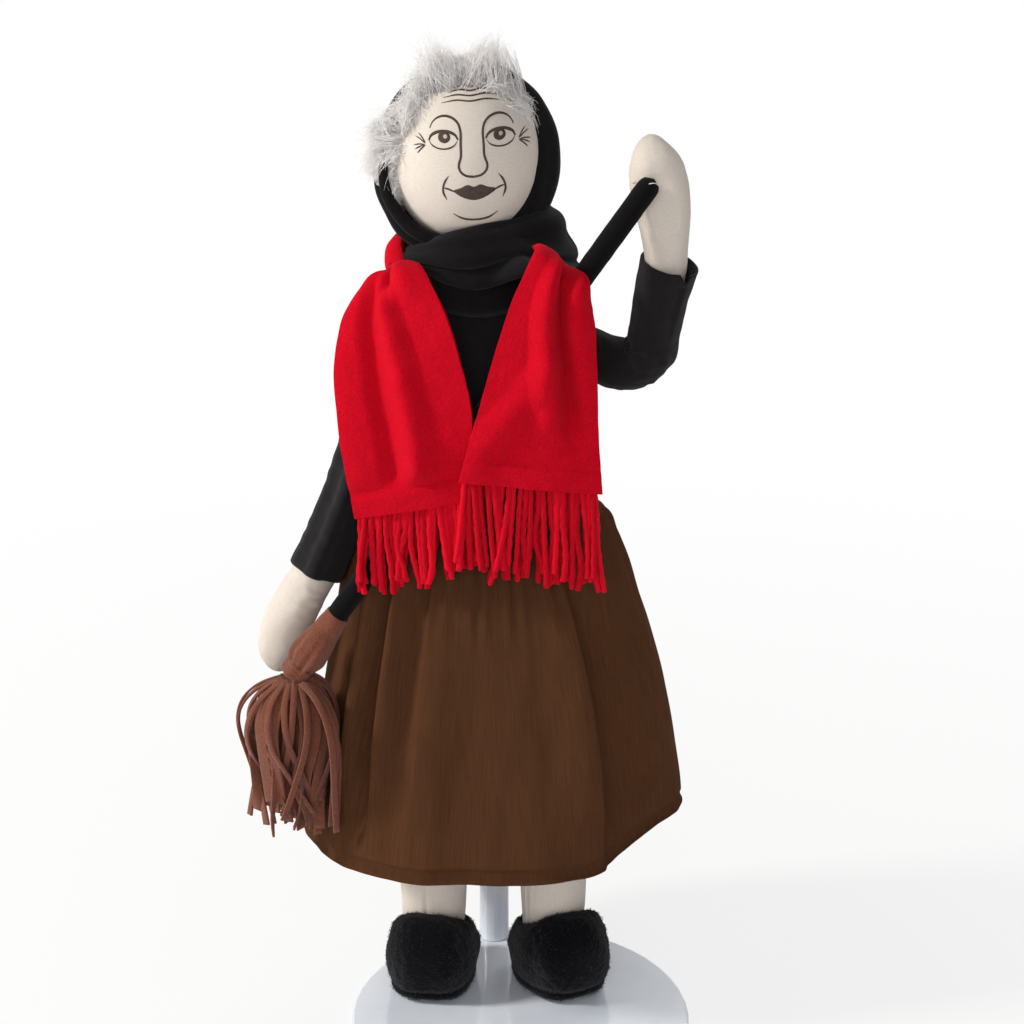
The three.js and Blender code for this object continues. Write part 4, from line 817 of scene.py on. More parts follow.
SCARF_ROWS = [
    (0, (-60.5, -40, 259.5), (-9.5, -45, 269.5)),
    (18, (-63.6, -39, 278), (-9.3, -45.5, 289)),
    (46, (-67.5, -34, 306), (-8.6, -44.5, 311)),
    (66, (-68.2, -27, 326), (-13, -41.5, 330)),
    (84, (-63.5, -19, 346), (-19.5, -38.5, 352)),
    (98, (-54, -14, 357.5), (-27.5, -33.5, 367)),
    (107, (-47.6, -12, 359.5), (-32, -27, 371)),
    (119, (-43.5, -4, 361), (-37.5, -14, 368)),
    (134, (-43.5, 4, 363), (-40, 0, 376.5)),
    (158, (-36, 25, 361), (-33, 21, 377)),
    (184, (-8, 36.5, 360), (-8, 33, 376.5)),
    (210, (17.5, 30, 360), (14.5, 26, 376)),
    (230, (26, 11, 359.5), (20, 4, 375)),
    (246, (27, -14, 360), (17, -20, 376)),
    (260, (35, -30, 361), (19.5, -36, 380.5)),
    (272, (41, -42.5, 358.5), (18.3, -44.5, 378)),
    (286, (43.8, -46, 350.5), (10.8, -46.8, 363.5)),
    (306, (45, -46, 333), (4, -47, 344)),
    (338, (46.7, -45.5, 303), (-6, -47.5, 309)),
    (370, (48.8, -45, 272.5), (-14.3, -48, 279.5)),
]
SCARF_LENGTH, SCARF_WIDE = SCARF_ROWS[-1][0], 58.0


def scarf_grid(places, across):
    """Points of the fleece at places along it and shares across it, outer edge to inner edge."""
    stops = np.array([row[0] for row in SCARF_ROWS], float)
    outer = through(stops, [row[1] for row in SCARF_ROWS])(places)[:, None]
    inner = through(stops, [row[2] for row in SCARF_ROWS])(places)[:, None]
    share = np.asarray(across, float)[None, :, None]
    return outer * (1 - share) + inner * share


def scarf_folds(place, share):
    """How far the fleece stands out from the straight line between its edges."""
    right = 1 - ease(84, 112, place)
    left = ease(262, 285, place)
    neck = (1 - right) * (1 - left)
    bulge = np.sin(np.pi * share)
    shape = (2.5 * right + 2.0 * left) * bulge + 4.6 * neck * np.sqrt(np.clip(bulge, 0, 1))
    body = ease(9, 17, place) * right
    valley = 0.42 - 0.05 * ease(20, 60, place) - 0.12 * ease(60, 100, place)
    shape += body * bumps(share, (2.0, 0.06, 0.26), (-4.6, valley, 0.18), (5.2, valley + 0.14, 0.2))
    crease = bump(place, 99, 13)
    shape += crease * bumps(share, (5.0, 0.74, 0.3), (-6.5, 0.42, 0.13), (3.0, 0.16, 0.24))
    held = left * (1 - ease(325, 356, place))
    trough = 0.46 - 0.24 * ease(268, 345, place)
    shape += held * bumps(share, (3.5, trough - 0.22, 0.24), (-6.5, trough, 0.15),
                          (5.0, trough + 0.17, 0.2))
    notch = bump(place, 270, 13)
    shape += notch * bumps(share, (3.0, 0.2, 0.24), (-5.5, 0.5, 0.17))
    slant = 0.42 + 0.5 * ease(300, 362, place)
    return shape + left * ease(298, 312, place) * 2.6 * bump(share, slant, 0.22)


def make_scarf():
    places = np.linspace(0, SCARF_LENGTH, 260)
    across = np.linspace(0, 1, 64)
    sheet = scarf_grid(places, across)
    facing = grid_normals(sheet, around=False)
    place, share = np.meshgrid(places, across, indexing="ij")
    from_end = np.minimum(place, SCARF_LENGTH - place)
    hem = 1.2 * (1 - ease(8, 11, from_end)) - 0.5 * bump(from_end, 10, 2.4)
    soft = 0.7 * lumps(sheet, 30, 21) + 0.25 * lumps(sheet, 9, 22)
    sheet = sheet + facing * (scarf_folds(place, share) + hem + soft)[..., None]
    build = Build()
    build.grid(sheet, size=(SCARF_WIDE, SCARF_LENGTH))
    piece = build.piece("scarf_fleece", FLEECE, wall=2.4, inward=0)
    rounding = piece.modifiers.new("soft_edge", "BEVEL")
    rounding.width = 0.9 * MM
    rounding.segments = 3
    rounding.limit_method = "ANGLE"
    rounding.angle_limit = math.radians(60)
    carry(piece, "trunk", "fleece", "scarf")


def yarn(build, path, radius, shade, spin):
    """A softly twisted strand along a path, blunt at its end."""
    gone = gone_along(path)
    sides, lay = 8, 13
    ring = tube(path, radius, radius, sides, (0.2, 1, 0))
    angle = turns(sides) * 2 * np.pi
    twist = 1 + 0.13 * np.cos(2 * (angle[None, :] - gone[:, None] * 2 * np.pi / lay - spin))
    section = twist * rounded(gone, 0.1, 0.6 * radius)[:, None]
    ring = path[:, None] + (ring - path[:, None]) * section[..., None]
    build.grid(ring, around=True, caps=True, size=(2 * np.pi * radius, gone[-1]), shade=shade)


def make_fringe(side, place, ends, seed):
    """Strands of yarn hang from one end of the scarf, in two rows, and gather in loose bunches."""
    rng = np.random.default_rng(seed)
    build = Build()
    low = through([0, 0.33, 0.67, 1], ends)
    count, bunch = 25, 3
    t = np.r_[np.linspace(0, 0.982, 25), 0.994, 1]
    bunch_x = rng.normal(0, 2.6, count)
    for row in (0, 1):
        for k in range(count):
            share = np.clip((k + 0.5 + 0.35 * rng.uniform(-1, 1)) / count, 0.05, 0.97)
            root = scarf_grid(np.array([place]), [share])[0, 0] + [0, -0.6 + 2.0 * row, 1.5]
            end = low(share) + rng.uniform(-4.5, 4.5)
            drift = bunch_x[k // bunch] + (1 - k % bunch) * 1.1 + rng.normal(0, 1.0)
            sway = rng.normal(0, 1.1) * np.sin(np.pi * t * rng.uniform(1.2, 2.6) + rng.uniform(0, 6)) * t
            x = root[0] + drift * t**1.3 + sway
            y = root[1] - 1.2 * np.sin(np.pi * np.clip(2 * t, 0, 1)) + rng.normal(0, 1.3) * t + 0.8 * row
            path = spots(x, y, root[2] + (end - root[2]) * t)
            yarn(build, path, rng.uniform(1.15, 1.55), rng.uniform(0.2, 0.95), rng.uniform(0, 6))
    carry(build.piece(f"fringe_{side}_yarn", YARN), "trunk", "yarn", f"fringe_{side}")


make_scarf()
make_fringe("right", 3, [225.5, 227.5, 232, 241], 31)
make_fringe("left", SCARF_LENGTH - 3, [227.5, 232, 233.5, 242], 32)

# Kerchief: hood and neck wrap

HOOD = HEAD + [0.0, 1.0, 0.0]
HOOD_HALF = np.array([40.0, 40.0, 43.0])


def rim(angle):
    """The edge of the hood round the face. The angle runs from the doll's left over the crown."""
    middle = HEAD + [-1.4, -13.5, -1.5]
    up = np.sin(angle)
    x = middle[0] + np.where(np.cos(angle) > 0, 29.5, 33.0) * np.cos(angle)
    z = middle[2] + np.where(up > 0, 36.0, 29.5) * up
    y = middle[1] + np.where(up > 0, 15.0, 5.0) * up
    return spots(x, y, z)


def make_hood():
    rows, cols = 90, 240
    angle = turns(cols) * 2 * np.pi
    start = rim(angle)
    start_way = unit((start - HOOD) / HOOD_HALF)
    back_way = unit([0, 1, -0.12])
    t = np.linspace(0, 1, rows)[:, None, None] ** 0.85
    part = np.arccos(np.clip(start_way @ back_way, -1, 1))[None, :, None]
    gone = 0.999 * t * part
    way = (np.sin(part - gone) * start_way + np.sin(gone) * back_way) / np.sin(part)
    shell = HOOD + unit(way) * HOOD_HALF
    share = ease(0, 0.14, t)
    points = start * (1 - share) + shell * share
    facing = unit((points - HOOD) / HOOD_HALF**2)
    depth = t[..., 0]
    turn = np.degrees(angle)[None, :]
    low_right = bump(turn, 222, 62)
    rolls = 2.6 * np.sin(np.pi * np.clip(depth / 0.1, 0, 1))
    rolls += bumps(depth, (-2.6, 0.13, 0.04), (2.4, 0.19, 0.055), (-2.2, 0.26, 0.04), (1.6, 0.32, 0.06))
    edge = bumps(depth, (1.2, 0.04, 0.05), (-0.5, 0.1, 0.03))
    soft = 0.5 * lumps(points, 22, 41)
    soft += 0.7 * lumps(points * [0.5, 1, 0.5], 30, 42) * ease(0.1, 0.4, depth)
    nape = bump(turn, 270, 85) * ease(0.3, 0.55, depth) * (1 - ease(0.7, 0.98, depth))
    folds = 2.4 * nape * np.sin(np.radians(9 * turn))
    points = points + facing * (low_right * rolls + edge + soft + folds)[..., None]
    piece = sewn("hood_cloth", KERCHIEF, points, (230, 75), 1.1)
    carry(piece, "head_whole", "kerchief", "kerchief_hood")


def wrap_turn(angle, share, top, low, reach):
    """One turn of cloth round the neck: its edges' heights, and how far it stands from the axis."""
    t = share[:, None]
    past_low, past_top = np.clip(t - 1, 0, 1), np.clip(-t, 0, 1)
    z = top + (low - top) * np.clip(t, 0, 1) + 14 * past_low - 22 * past_top
    return spots(NECK[0] + reach * np.cos(angle), 1.0 + 0.93 * reach * np.sin(angle), z)


def make_wrap():
    """The kerchief's ends wound twice round the neck, with one corner over the left shoulder."""
    cols = 260
    angle = turns(cols) * 2 * np.pi
    turn = np.degrees(angle)
    share = np.r_[-0.16, -0.08, np.linspace(0, 1, 64), 1.08, 1.16, 1.24]
    t = share[:, None]
    stops = [0, 30, 60, 100, 150, 185, 215, 245, 270, 290, 300, 308, 318, 335]
    tops = [391, 390, 388, 386, 382, 374.5, 377.5, 383.5, 386.5, 388, 388.5, 389, 390, 391]
    lows = [354, 354, 355, 356, 360, 366, 366, 362.5, 361, 364.5, 369, 366, 364, 358]
    widths = [40.5, 38, 33.5, 30, 29, 29.5, 30.5, 31.5, 32, 32.5, 33.5, 35, 36.5, 39.5]
    corners = [4, 1, 0, 0, 0, 0, 0, 0, 0, 4, 14, 20, 17, 9]
    top, low, wide, corner = (wheel(stops, values)(angle) for values in (tops, lows, widths, corners))
    swell = through([-0.16, -0.08, 0, 0.07, 0.3, 0.56, 0.64, 0.82, 0.95, 1, 1.08, 1.16, 1.24],
                    [-13, -9, -4, -1.4, 0.7, 1.6, -1.2, 0.4, -0.8, -2.4, -6.5, -11, -16])(t)
    slope = wheel([0, 45, 90, 180, 270, 315], [5, 3, 1, -1, 0, 2.5])(angle) * (np.clip(t, 0, 1) - 0.4) * 2
    points = wrap_turn(angle, share, top, low, wide + swell + slope + corner * ease(0.3, 1.0, t))
    facing = -grid_normals(points)
    creases = 1.1 * np.sin(10 * t + np.radians(2 * turn + 50)) * bump(turn, 325, 80)
    soft = 0.6 * lumps(points * [0.5, 0.5, 1.6], 20, 45) + creases * ease(0, 0.1, t)
    points = points + facing * soft[..., None]
    build = Build()
    build.grid(points, around=True, size=(215, 52))
    under_share = np.linspace(0, 1, 34)
    s = under_share[:, None]
    under_low = wheel([0, 60, 120, 180, 225, 270, 300, 330],
                      [348, 348, 348, 351, 348, 346, 346, 347])(angle)
    under_wide = wheel([0, 90, 180, 235, 270, 310], [30, 26, 28, 29, 28.5, 30])(angle)
    fold = through([0, 0.3, 0.5, 0.65, 0.82, 1], [-5, -1, 0.6, 1.2, -1.0, -11])(s)
    under = wrap_turn(angle, under_share, under_low + 22, under_low, under_wide + fold)
    loose = 0.7 * lumps(under * [0.5, 0.5, 1.4], 16, 47)
    under = under - grid_normals(under) * loose[..., None]
    build.grid(under, around=True, size=(190, 24))
    piece = build.piece("wrap_cloth", KERCHIEF, wall=1.2)
    carry(piece, "trunk", "kerchief", "kerchief_wrap")


make_hood()
make_wrap()

# Arms and sleeves

LEFT_LINE = [(8, 0, 333), (24, 0, 335), (38, -1, 328), (50, -2.5, 322.5), (60, -4.5, 320.5),
             (67, -6, 322.5), (71.3, -7.5, 328), (72.6, -9.5, 337), (74.2, -13, 350), (78.3, -18, 370.3)]
RIGHT_LINE = [(-27, 0, 335), (-42, 0, 337), (-50.5, 0, 327), (-54, -1, 311), (-57, -3.2, 291),
              (-64.5, -6, 266), (-72.5, -8, 245), (-81.8, -9.9, 223)]
SLEEVE_SIDES = 96
ARM_SIDE = (0, 1, 0)


def sleeve_grid(line, radius, steps, seed):
    """A sleeve's rings along the arm, with soft wrinkles that gather at the bend."""
    path = path_through(line, steps)
    along = gone_along(path) / gone_along(path)[-1]
    ring = tube(path, radius(along), radius(along), SLEEVE_SIDES, ARM_SIDE)
    out = unit(ring - path[:, None])
    bent = np.linalg.norm(np.gradient(unit(np.gradient(path, axis=0)), axis=0), axis=1)
    soft = 0.55 * lumps(ring * [0.6, 1, 0.6], 24, seed) + 0.3 * lumps(ring, 9, seed + 1)
    soft += 0.8 * (bent / bent.max())[:, None] * lumps(ring, 8, seed + 2)
    return along[:, None], out, ring + out * soft[..., None]


def sleeve_piece(name, rings):
    piece = sewn(f"{name}_sleeve", BLOUSE, rings, (80, 120), 1.1)
    bend(piece, name, "black_cotton", f"{name}_upper_sleeve", f"{name}_lower_sleeve")


def make_left_sleeve():
    """The sleeve of the raised arm, lapped over itself, with a notch in its edge."""
    radius = through([0, 0.14, 0.31, 0.53, 0.66, 0.83, 1], [7.5, 12.2, 12, 11.7, 11.4, 12, 12.7])
    along, out, rings = sleeve_grid(LEFT_LINE, radius, 150, 51)
    turn = turns(SLEEVE_SIDES) * 360
    lap_at = 214
    lap = ease(-2, 2, turn - lap_at) * (1 - ease(2, 75, turn - lap_at))
    rings = rings + out * (1.6 * lap * ease(0.66, 0.83, along))[..., None]
    rings[..., 2] -= 3.4 * bump(turn, lap_at - 2, 10) * ease(0.94, 1, along)
    sleeve_piece("left", rings)


def make_right_sleeve():
    """The sleeve of the hanging arm, with one pressed fold down its front."""
    radius = through([0, 0.12, 0.34, 0.56, 0.78, 1], [7, 12.4, 12.2, 11.8, 12.2, 13.0])
    along, out, rings = sleeve_grid(RIGHT_LINE, radius, 140, 55)
    turn, fold = turns(SLEEVE_SIDES) * 360, 186
    pressed = bumps(turn, (2.6, fold, 26), (-1.1, fold - 36, 26), (-1.1, fold + 36, 26))
    sleeve_piece("right", rings + out * (pressed * ease(0.38, 0.6, along))[..., None])


def make_arm(name, line, wide, deep, finger, seed, creases, dent=None):
    """A stuffed arm and mitten hand along a line: half widths in the arm's own plane, and depths."""
    sides = 64
    path = path_through(line, 240)
    gone = gone_along(path)
    along, end = gone / gone[-1], rounded(gone, 4, finger)
    ring = tube(path, deep(along) * end, wide(along) * end, sides, ARM_SIDE)
    out = unit(ring - path[:, None])
    ring += out * (0.35 * lumps(ring, 16, seed) + 0.12 * lumps(ring, 5, seed + 1))[..., None]
    turn = turns(sides) * 360
    for place, middle, depth in creases:
        dip = bump(along, place, 0.011)[:, None] * hill(turn, middle, 42)
        swell = bump(along, place + 0.016, 0.014)[:, None] * hill(turn, middle + 6, 36)
        ring += out * (depth * (0.6 * swell - dip))[..., None]
    if dent is not None:
        ring[..., 1] = np.maximum(ring[..., 1], dent)
    piece = stuffed(f"{name}_arm_stuffed", CALICO, ring, (70, 170))
    bend(piece, name, "calico", f"{name}_upper_arm", f"{name}_forearm")


def make_arms():
    left = [*LEFT_LINE[2:-1], (76.3, -16.3, 362), (76.7, -18.4, 374), (75.9, -20, 385), (74.2, -20.8, 397),
            (72.2, -20.8, 408), (69.8, -20, 418), (68, -19, 426.5)]
    wide = through([0, 0.4, 0.56, 0.64, 0.72, 0.8, 0.88, 0.95, 1],
                   [9.4, 9.2, 9.4, 9.7, 11.2, 12.6, 12.2, 9.6, 8])
    deep = through([0, 0.4, 0.6, 0.75, 0.88, 1], [9.4, 9.2, 8.6, 9.4, 8.2, 5.5])
    creases = [(0.7, 200, 0.5), (0.72, 165, 0.4)]
    make_arm("left", left, wide, deep, 13, 61, creases, dent=-28.6)
    right = [*RIGHT_LINE[2:-1], (-81.5, -9.9, 224), (-88.5, -10, 212), (-93.8, -10, 202), (-98.5, -10, 190),
             (-100.5, -10, 180), (-102.3, -10, 172.5)]
    wide = through([0, 0.5, 0.66, 0.74, 0.82, 0.92, 1], [9.4, 9.4, 10.2, 11, 11.6, 10.6, 8.5])
    deep = through([0, 0.6, 0.75, 0.88, 1], [9.4, 9.2, 9.5, 8.4, 6])
    creases = [(0.7, 150, 0.6), (0.725, 128, 0.7), (0.755, 160, 0.5), (0.79, 140, 0.4)]
    make_arm("right", right, wide, deep, 11, 65, creases)


make_arms()
make_left_sleeve()
make_right_sleeve()

# Legs and slippers


def make_leg(side, hip, name):
    sides = 96
    z = np.linspace(30, 176, 110)
    path = spots(hip[0], hip[1], z)
    half = through([30, 48, 90, 150, 176], [15.2, 16.0, 16.2, 16.0, 14])(z) * rounded(z - z[0], 0.1, 9)
    ring = tube(path, half, half, sides)
    turn, seam_at = turns(sides) * 360, 257 if side < 0 else 218
    seam = bumps(turn, (0.45, seam_at - 5, 5), (-0.9, seam_at, 4), (0.2, seam_at + 5, 5))
    ring = puffed(ring, path, 0.4 * lumps(ring, 24, 71 + side) + seam)
    piece = stuffed(f"{name}_leg_stuffed", CALICO, ring, (100, 146))
    carry(piece, f"{name}_leg_whole", "calico", f"{name}_leg")


def slipper_grid(hip, splay, rows, cols):
    """A plush slipper's rings from under the sole, round its rolled edge and up to the ankle."""
    levels = [0.0, 0.2, 0.8, 2.2, 4.0, 5.6, 9, 15, 21, 26.5, 31, 34, 35, 34.4, 32]
    shares = np.linspace(0, 1, len(levels))
    t = np.linspace(0, 1, rows)
    wides = [1, 13, 18.6, 20.2, 20.6, 20.0, 21.4, 22.2, 22.2, 21.8, 21, 19.8, 18.2, 16.9, 16]
    toes = [1, 19, 27.5, 30.4, 31, 30.6, 33, 34.4, 34, 32, 28.5, 24, 19.5, 17, 16]
    heels = [1, 14, 18.6, 20, 20.4, 19.8, 21, 21.4, 21.2, 20.4, 19.4, 18.4, 17.4, 16.8, 16]
    up, wide, toe, heel = (through(shares, values)(t)[:, None] for values in (levels, wides, toes, heels))
    angle = turns(cols) * 2 * np.pi
    full = 0.66
    cos, sin = np.cos(angle), np.sin(angle)
    x = np.sign(cos) * np.abs(cos) ** full * wide
    y = np.sign(sin) * np.abs(sin) ** full * np.where(sin < 0, toe, heel)
    turned = np.radians(splay) * ease(-6, 20, -y)
    sloped = 0.5 * np.clip(-y, -17, 15) - 8.0 * (np.abs(x) / 20) ** 2.4
    base_top = 4.8
    z = base_top + up + sloped * ease(13, 34, up)
    cos, sin = np.cos(turned), np.sin(turned)
    return spots(x * cos - y * sin + hip[0], x * sin + y * cos + hip[1], z)


def make_slipper(side, hip, name):
    splay = 25 if side > 0 else -6
    ring = slipper_grid(hip, splay, 84, 130)
    facing = -grid_normals(ring)
    raised = ease(8, 14, ring[..., 2])
    soft = 0.7 * lumps(ring, 20, 81 + side) + 0.35 * lumps(ring, 6, 83 + side)
    ring = ring + facing * (raised * soft)[..., None]
    piece = stuffed(f"{name}_slipper_plush", PLUSH, ring, (130, 90))
    carry(piece, f"{name}_leg_whole", "plush", f"{name}_slipper", f"{name}_sole")
    pile = Build()
    rng = np.random.default_rng(91 + side)
    rows, cols = ring.shape[:2]
    t = np.linspace(0, 1, 3)[:, None]
    fibres = 4200
    for _ in range(fibres):
        i, j = rng.integers(14, rows - 3), rng.integers(0, cols)
        root = ring[i, j] + rng.normal(0, 0.3, 3) - 0.3 * facing[i, j]
        way = unit(facing[i, j] + 0.5 * rng.normal(size=3) + [0, 0, -0.35])
        path = root + way * rng.uniform(0.9, 1.6) * t + 0.25 * rng.normal(size=3) * t**2
        bristle(pile, path, 0.17, rng.uniform(0, 1))
    carry(pile.piece(f"{name}_slipper_pile", PILE), f"{name}_leg_whole", "plush")


make_leg(1, LEFT_HIP, "left")
make_leg(-1, RIGHT_HIP, "right")
make_slipper(1, LEFT_HIP, "left")
make_slipper(-1, RIGHT_HIP, "right")

# Hair


def make_hair():
    """A strip of pale fur over the brow and along the hood's edge, in tufts that part and cross."""
    rng = np.random.default_rng(101)
    build = Build()
    stops = [36, 56, 66, 69, 71.5, 75, 80, 87, 94, 99, 106, 117, 124, 131, 140, 148, 155, 164, 172, 180,
             186, 191, 198]
    stand_out = through(stops, [-2, -2, -1, 4, 18, 20, 14, 10, 8, 10, 16, 15, 10, 6, 5, 6, 10, 13, 15, 16,
                                9, 4, 1])
    hairline = through([36, 60, 90, 112, 130, 165, 198], [0.97, 0.955, 0.955, 0.94, 0.9, 0.88, 0.96])
    t = np.linspace(0, 1, 5)[:, None]
    tufts, hairs, first, fan = 140, 50, 40, 157
    for tuft in range(tufts):
        degrees = first + fan * (tuft + rng.uniform(0, 1)) / tufts
        low = hairline(degrees)
        share = low + (1.04 - low) * rng.uniform(0, 1)
        ends = degrees + rng.normal(0, 11)
        tall = stand_out(ends) / 36 * rng.uniform(0.55, 1.1)
        ahead = rng.uniform(-7, 9)
        falls = rng.uniform() < 0.12 and 50 < degrees < 165
        spread = rng.uniform(1.0, 2.8)
        for _ in range(hairs):
            turn = math.radians(degrees + rng.normal(0, 3.2))
            near = min(share + rng.normal(0, 0.035), 1.03)
            back = rng.uniform(0, 9) if near > 0.99 else 0.0
            deep = math.sqrt(max(0, 1 - near**2))
            root = HEAD + HEAD_HALF * [near * math.cos(turn), -deep, near * math.sin(turn)]
            root[1] += back
            root[1] = min(root[1], rim(turn)[1] + 2)
            tip = math.radians(ends + rng.normal(0, 1.5))
            reach = 0.3 + 0.7 * share + tall * rng.uniform(0.5, 1.15)
            end = HEAD + HEAD_HALF * [reach * math.cos(tip), 0, reach * math.sin(tip)]
            end[1] = 0.55 * root[1] - ahead + 0.5 * back
            if falls:
                end = root + [(ends - degrees) * 0.5 - 2, -2.5, -6]
            end = end + rng.normal(0, spread, 3)
            lift = unit((root - HEAD) / HEAD_HALF**2) * rng.uniform(2.0, 5.5)
            curve = root * (1 - t) ** 2 + 2 * t * (1 - t) * ((root + end) / 2 + lift) + end * t**2
            curve = curve + np.sin(2.6 * np.pi * t) * t * rng.normal(0, 0.7, 3)
            bristle(build, curve, 0.15, rng.uniform(0, 1))
    carry(build.piece("hair_fur", FUR), "head_whole", "fur", "hair")


make_hair()

# Broom

STICK_TOP, TIE = np.array([66.4, -33.9, 404.7]), np.array([-89.2, -33.9, 183.6])
STICK_WAY = unit(TIE - STICK_TOP)


def make_stick():
    above_hand, short_of_tie = 6.0, 8.0
    start, end = STICK_TOP - above_hand * STICK_WAY, TIE - short_of_tie * STICK_WAY
    path = start + np.linspace(0, 1, 160)[:, None] * (end - start)
    sides, radius = 48, 4.8
    half = radius * rounded(gone_along(path), 5, 1)
    ring = tube(path, half, half, sides, ARM_SIDE)
    turn = turns(sides) * 360
    seam = bumps(turn, (0.3, 285, 8), (-0.35, 294, 5))
    ring = puffed(ring, path, 0.12 * lumps(ring, 7, 111) + seam)
    build = Build()
    build.grid(ring, around=True, caps=True, size=(31, 270))
    carry(build.piece("stick_sleeve", STICK_COVER), "left_arm_lower", "stick_cover", "broom_stick")

    stitches = Build()
    threads = [[(60.9, -24, 403.6), (62.8, -28.6, 406.7), (66.6, -31.5, 409.0)],
               [(60.9, -24.5, 406.3), (63.3, -29.0, 408.7), (67.1, -31.5, 410.1)],
               [(66.8, -37.2, 408), (69.4, -39.0, 408.8), (72.2, -37.4, 407.4), (73.5, -33, 406)]]
    for points in threads:
        bristle(stitches, path_through(points, 9), 0.3, 0.5)
    carry(stitches.piece("palm_stitches", THREAD_WHITE), "left_arm_lower", "calico")


def make_cap():
    rows, sides = 70, 110
    path = TIE + np.linspace(-33, 1, rows)[:, None] * STICK_WAY
    along = np.linspace(0, 1, rows)
    radius = through([0, 0.06, 0.3, 0.55, 0.78, 0.92, 1], [5.4, 5.8, 6.9, 8.3, 8.0, 6.0, 5.0])(along)
    ring = tube(path, radius, radius, sides, ARM_SIDE)
    angle = turns(sides) * 2 * np.pi
    folds = 0.7 * np.sin(7 * angle + 0.4) + 0.5 * np.sin(11 * angle + 2)
    ring = puffed(ring, path, folds * ease(0.2, 1, along)[:, None] + 0.3 * lumps(ring, 8, 115))
    piece = sewn("cap_felt", FELT, ring, (56, 36), 1.3)
    carry(piece, "left_arm_lower", "felt", "broom_cap")


def ribbon(build, path, wide, thick, facing):
    """A flat strip of felt along a path, its broad side turned to the facing directions."""
    along = unit(np.gradient(path, axis=0))
    facing = unit(facing - along * np.sum(along * facing, axis=1)[:, None])
    side = np.cross(along, facing)
    corners = [(-1, -0.6), (-0.86, -1), (0.86, -1), (1, -0.6), (1, 0.6), (0.86, 1), (-0.86, 1), (-1, 0.6)]
    ring = np.stack([path + side * (wide / 2 * u) + facing * (thick / 2 * v) for u, v in corners], axis=1)
    build.grid(ring, around=True, caps=True, size=(2 * wide, gone_along(path)[-1]))


def make_tie():
    """Turns of a narrow strip of felt round the stick's end."""
    build = Build()
    windings, radius, length = 3, 6.2, 6.4
    t = np.linspace(0, 1, 140)
    angle = windings * 2 * np.pi * t
    reach = radius + 0.4 * np.sin(5 * angle)
    out = np.outer(np.cos(angle), unit(np.cross(STICK_WAY, ARM_SIDE))) + np.outer(np.sin(angle), ARM_SIDE)
    path = TIE + np.outer((t - 0.5) * length, STICK_WAY) + reach[:, None] * out
    ribbon(build, path, 2.9, 1.4, out)
    carry(build.piece("tie_felt", FELT), "left_arm_lower", "felt", "broom_binding")


STRIP_STEPS = 40


def strip_path(start, out, first, last, length, drift):
    """A felt strip's line: it leaves the tie along out, droops, and hangs; angles below level."""
    t = np.linspace(0, 1, STRIP_STEPS)
    fall = np.radians(first + (last - first) * ease(0, 0.62, t))
    step = length / STRIP_STEPS
    sideways = [-out[1], out[0], 0]
    move = np.outer(np.cos(fall), out) + np.outer(-np.sin(fall), [0, 0, 1])
    return start + np.cumsum(move, axis=0) * step + np.outer(drift * t**1.5, sideways)


def broom_lift():
    """How far the broom moves when the left arm is raised to its limit."""
    limit = math.radians(15)
    x, _, z = LEFT_ELBOW - LEFT_SHOULDER
    raised = [x * math.cos(limit) - z * math.sin(limit), 0, x * math.sin(limit) + z * math.cos(limit)]
    return np.array(raised) - [x, 0, z]


def over_neighbours(values, reach, pick):
    """Each value replaced by a pick, such as the largest, of those within reach of it."""
    padded = np.pad(values, reach, mode="edge")
    return pick(np.lib.stride_tricks.sliding_window_view(padded, 2 * reach + 1), axis=1)


def hang_clear(path, clear):
    """The same line, swung smoothly aside to clear the skirt with the broom at rest and raised."""
    raised = off_skirt(off_skirt(path, clear) + broom_lift(), clear)
    push = raised - broom_lift() - path
    far = np.linalg.norm(push, axis=1)
    reach = 6
    swing = over_neighbours(over_neighbours(far, reach, np.max), reach, np.mean)
    swing *= ease(0, 0.2, np.linspace(0, 1, len(path)))
    return path + np.outer(swing, unit(push[far.argmax()]))


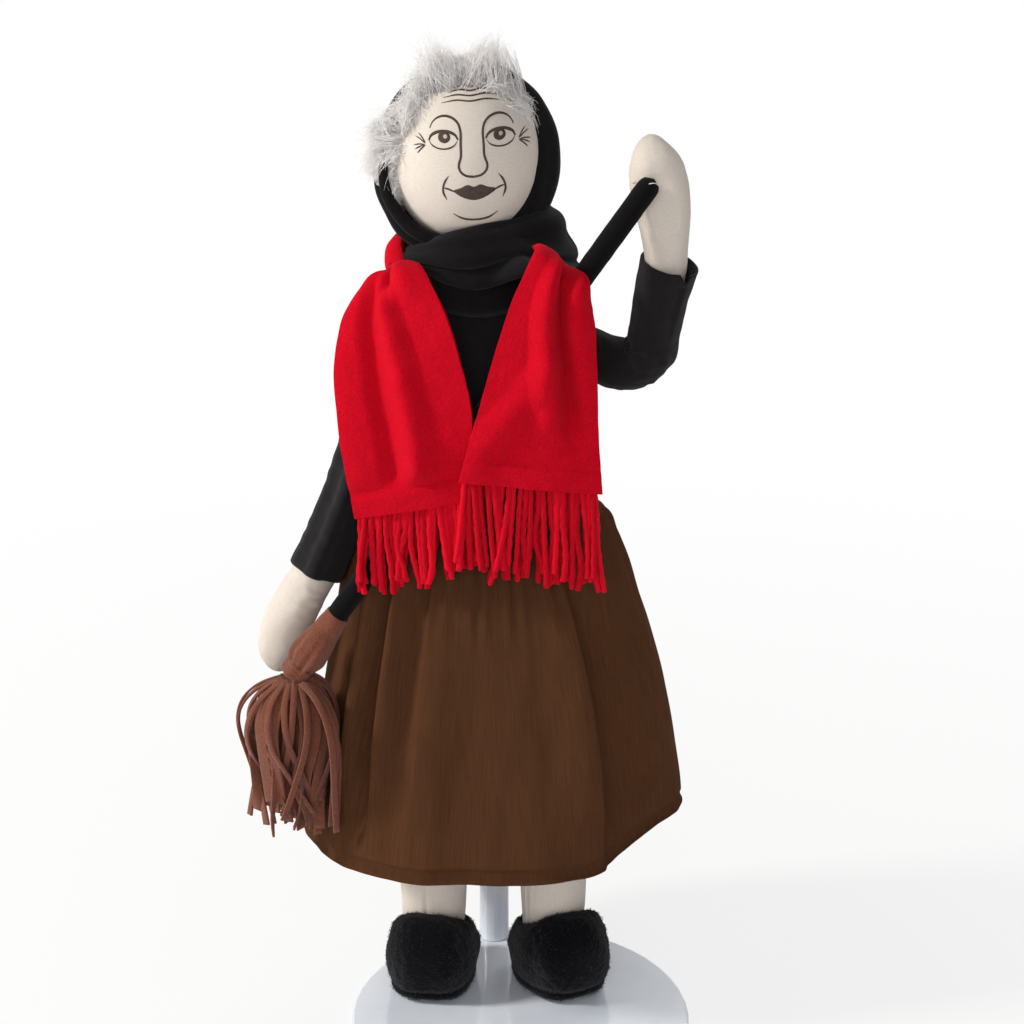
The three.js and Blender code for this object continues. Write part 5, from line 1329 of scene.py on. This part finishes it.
def make_strips():
    """Felt strips spring from the tie, droop into a full mop and hang clear of the skirt."""
    rng = np.random.default_rng(121)
    build = Build()
    count, golden_angle, felt = 66, 2.39996, 1.1
    t = np.linspace(0, 1, STRIP_STEPS)
    for k in range(count):
        ring = math.sqrt((k + 0.5) / count)
        angle = k * golden_angle + rng.normal(0, 0.12)
        out = np.array([math.cos(angle), math.sin(angle), 0])
        start = TIE + [-1.5, 0, -3] + 5.5 * ring * out * [1, 0.8, 0]
        first = 88 - 56 * ring + rng.normal(0, 5)
        last = 92 + rng.uniform(-6, 26) * ring
        length = rng.uniform(58, 78) + 5 * ring
        path = strip_path(start, out * [1.02, 0.62, 0], first, last, length, rng.normal(0, 5))
        wave = rng.uniform(1.4, 4.2) * np.sin(2 * np.pi * t * rng.uniform(0.7, 1.6) + rng.uniform(0, 6)) * t
        path = hang_clear(path + np.outer(wave, [-out[1], out[0], 0]), 5.0)
        turn = angle + rng.normal(0, 0.4) + rng.normal(0, 1.2) * t**1.5
        ribbon(build, path, rng.uniform(3.4, 5.8), felt, spots(np.cos(turn), np.sin(turn), 0.4 * (1 - t)))
    loops = [(3.4, 26, 128, 70, 6), (3.9, 22, 122, 84, -12), (4.5, 24, 116, 70, 14),
             (2.9, 20, 108, 76, 4), (5.1, 28, 106, 74, -16), (4.2, 20, 120, 78, 16),
             (3.1, 26, 110, 80, -8), (4.8, 24, 112, 66, -12), (5.35, 16, 102, 84, 3),
             (5.6, 24, 112, 76, -4), (5.2, 10, 98, 88, 7), (5.5, 32, 94, 80, 2)]
    for angle, first, last, length, drift in loops:
        out = np.array([math.cos(angle), math.sin(angle), 0])
        path = strip_path(TIE + [-2, 0, -4] + 6 * out, out * [1.05, 0.75, 0], first, last, length, drift)
        ribbon(build, hang_clear(path, 3.6), 2.9, felt, spots(out[0], out[1], 0.3 - 0.5 * t))
    front = np.array([-0.45, -0.9, 0.25])
    wide_way = np.array([-0.62, -0.741, 0])
    wide = strip_path(TIE + [-3, -4, -3], wide_way, 32, 98, 66, 0)
    ribbon(build, wide, 11.5, 1.3, np.tile(front, (STRIP_STEPS, 1)))
    piece = build.piece("strips_felt", FELT)
    carry(piece, "left_arm_lower", "felt", "broom_strips")

    seam = Build()
    for place in range(8, 34, 4):
        bristle(seam, wide[place:place + 3] + 0.75 * unit(front), 0.3, rng.uniform(0, 1))
    carry(seam.piece("strip_stitches", THREAD_DARK), "left_arm_lower", "felt")


make_stick()
make_cap()
make_tie()
make_strips()
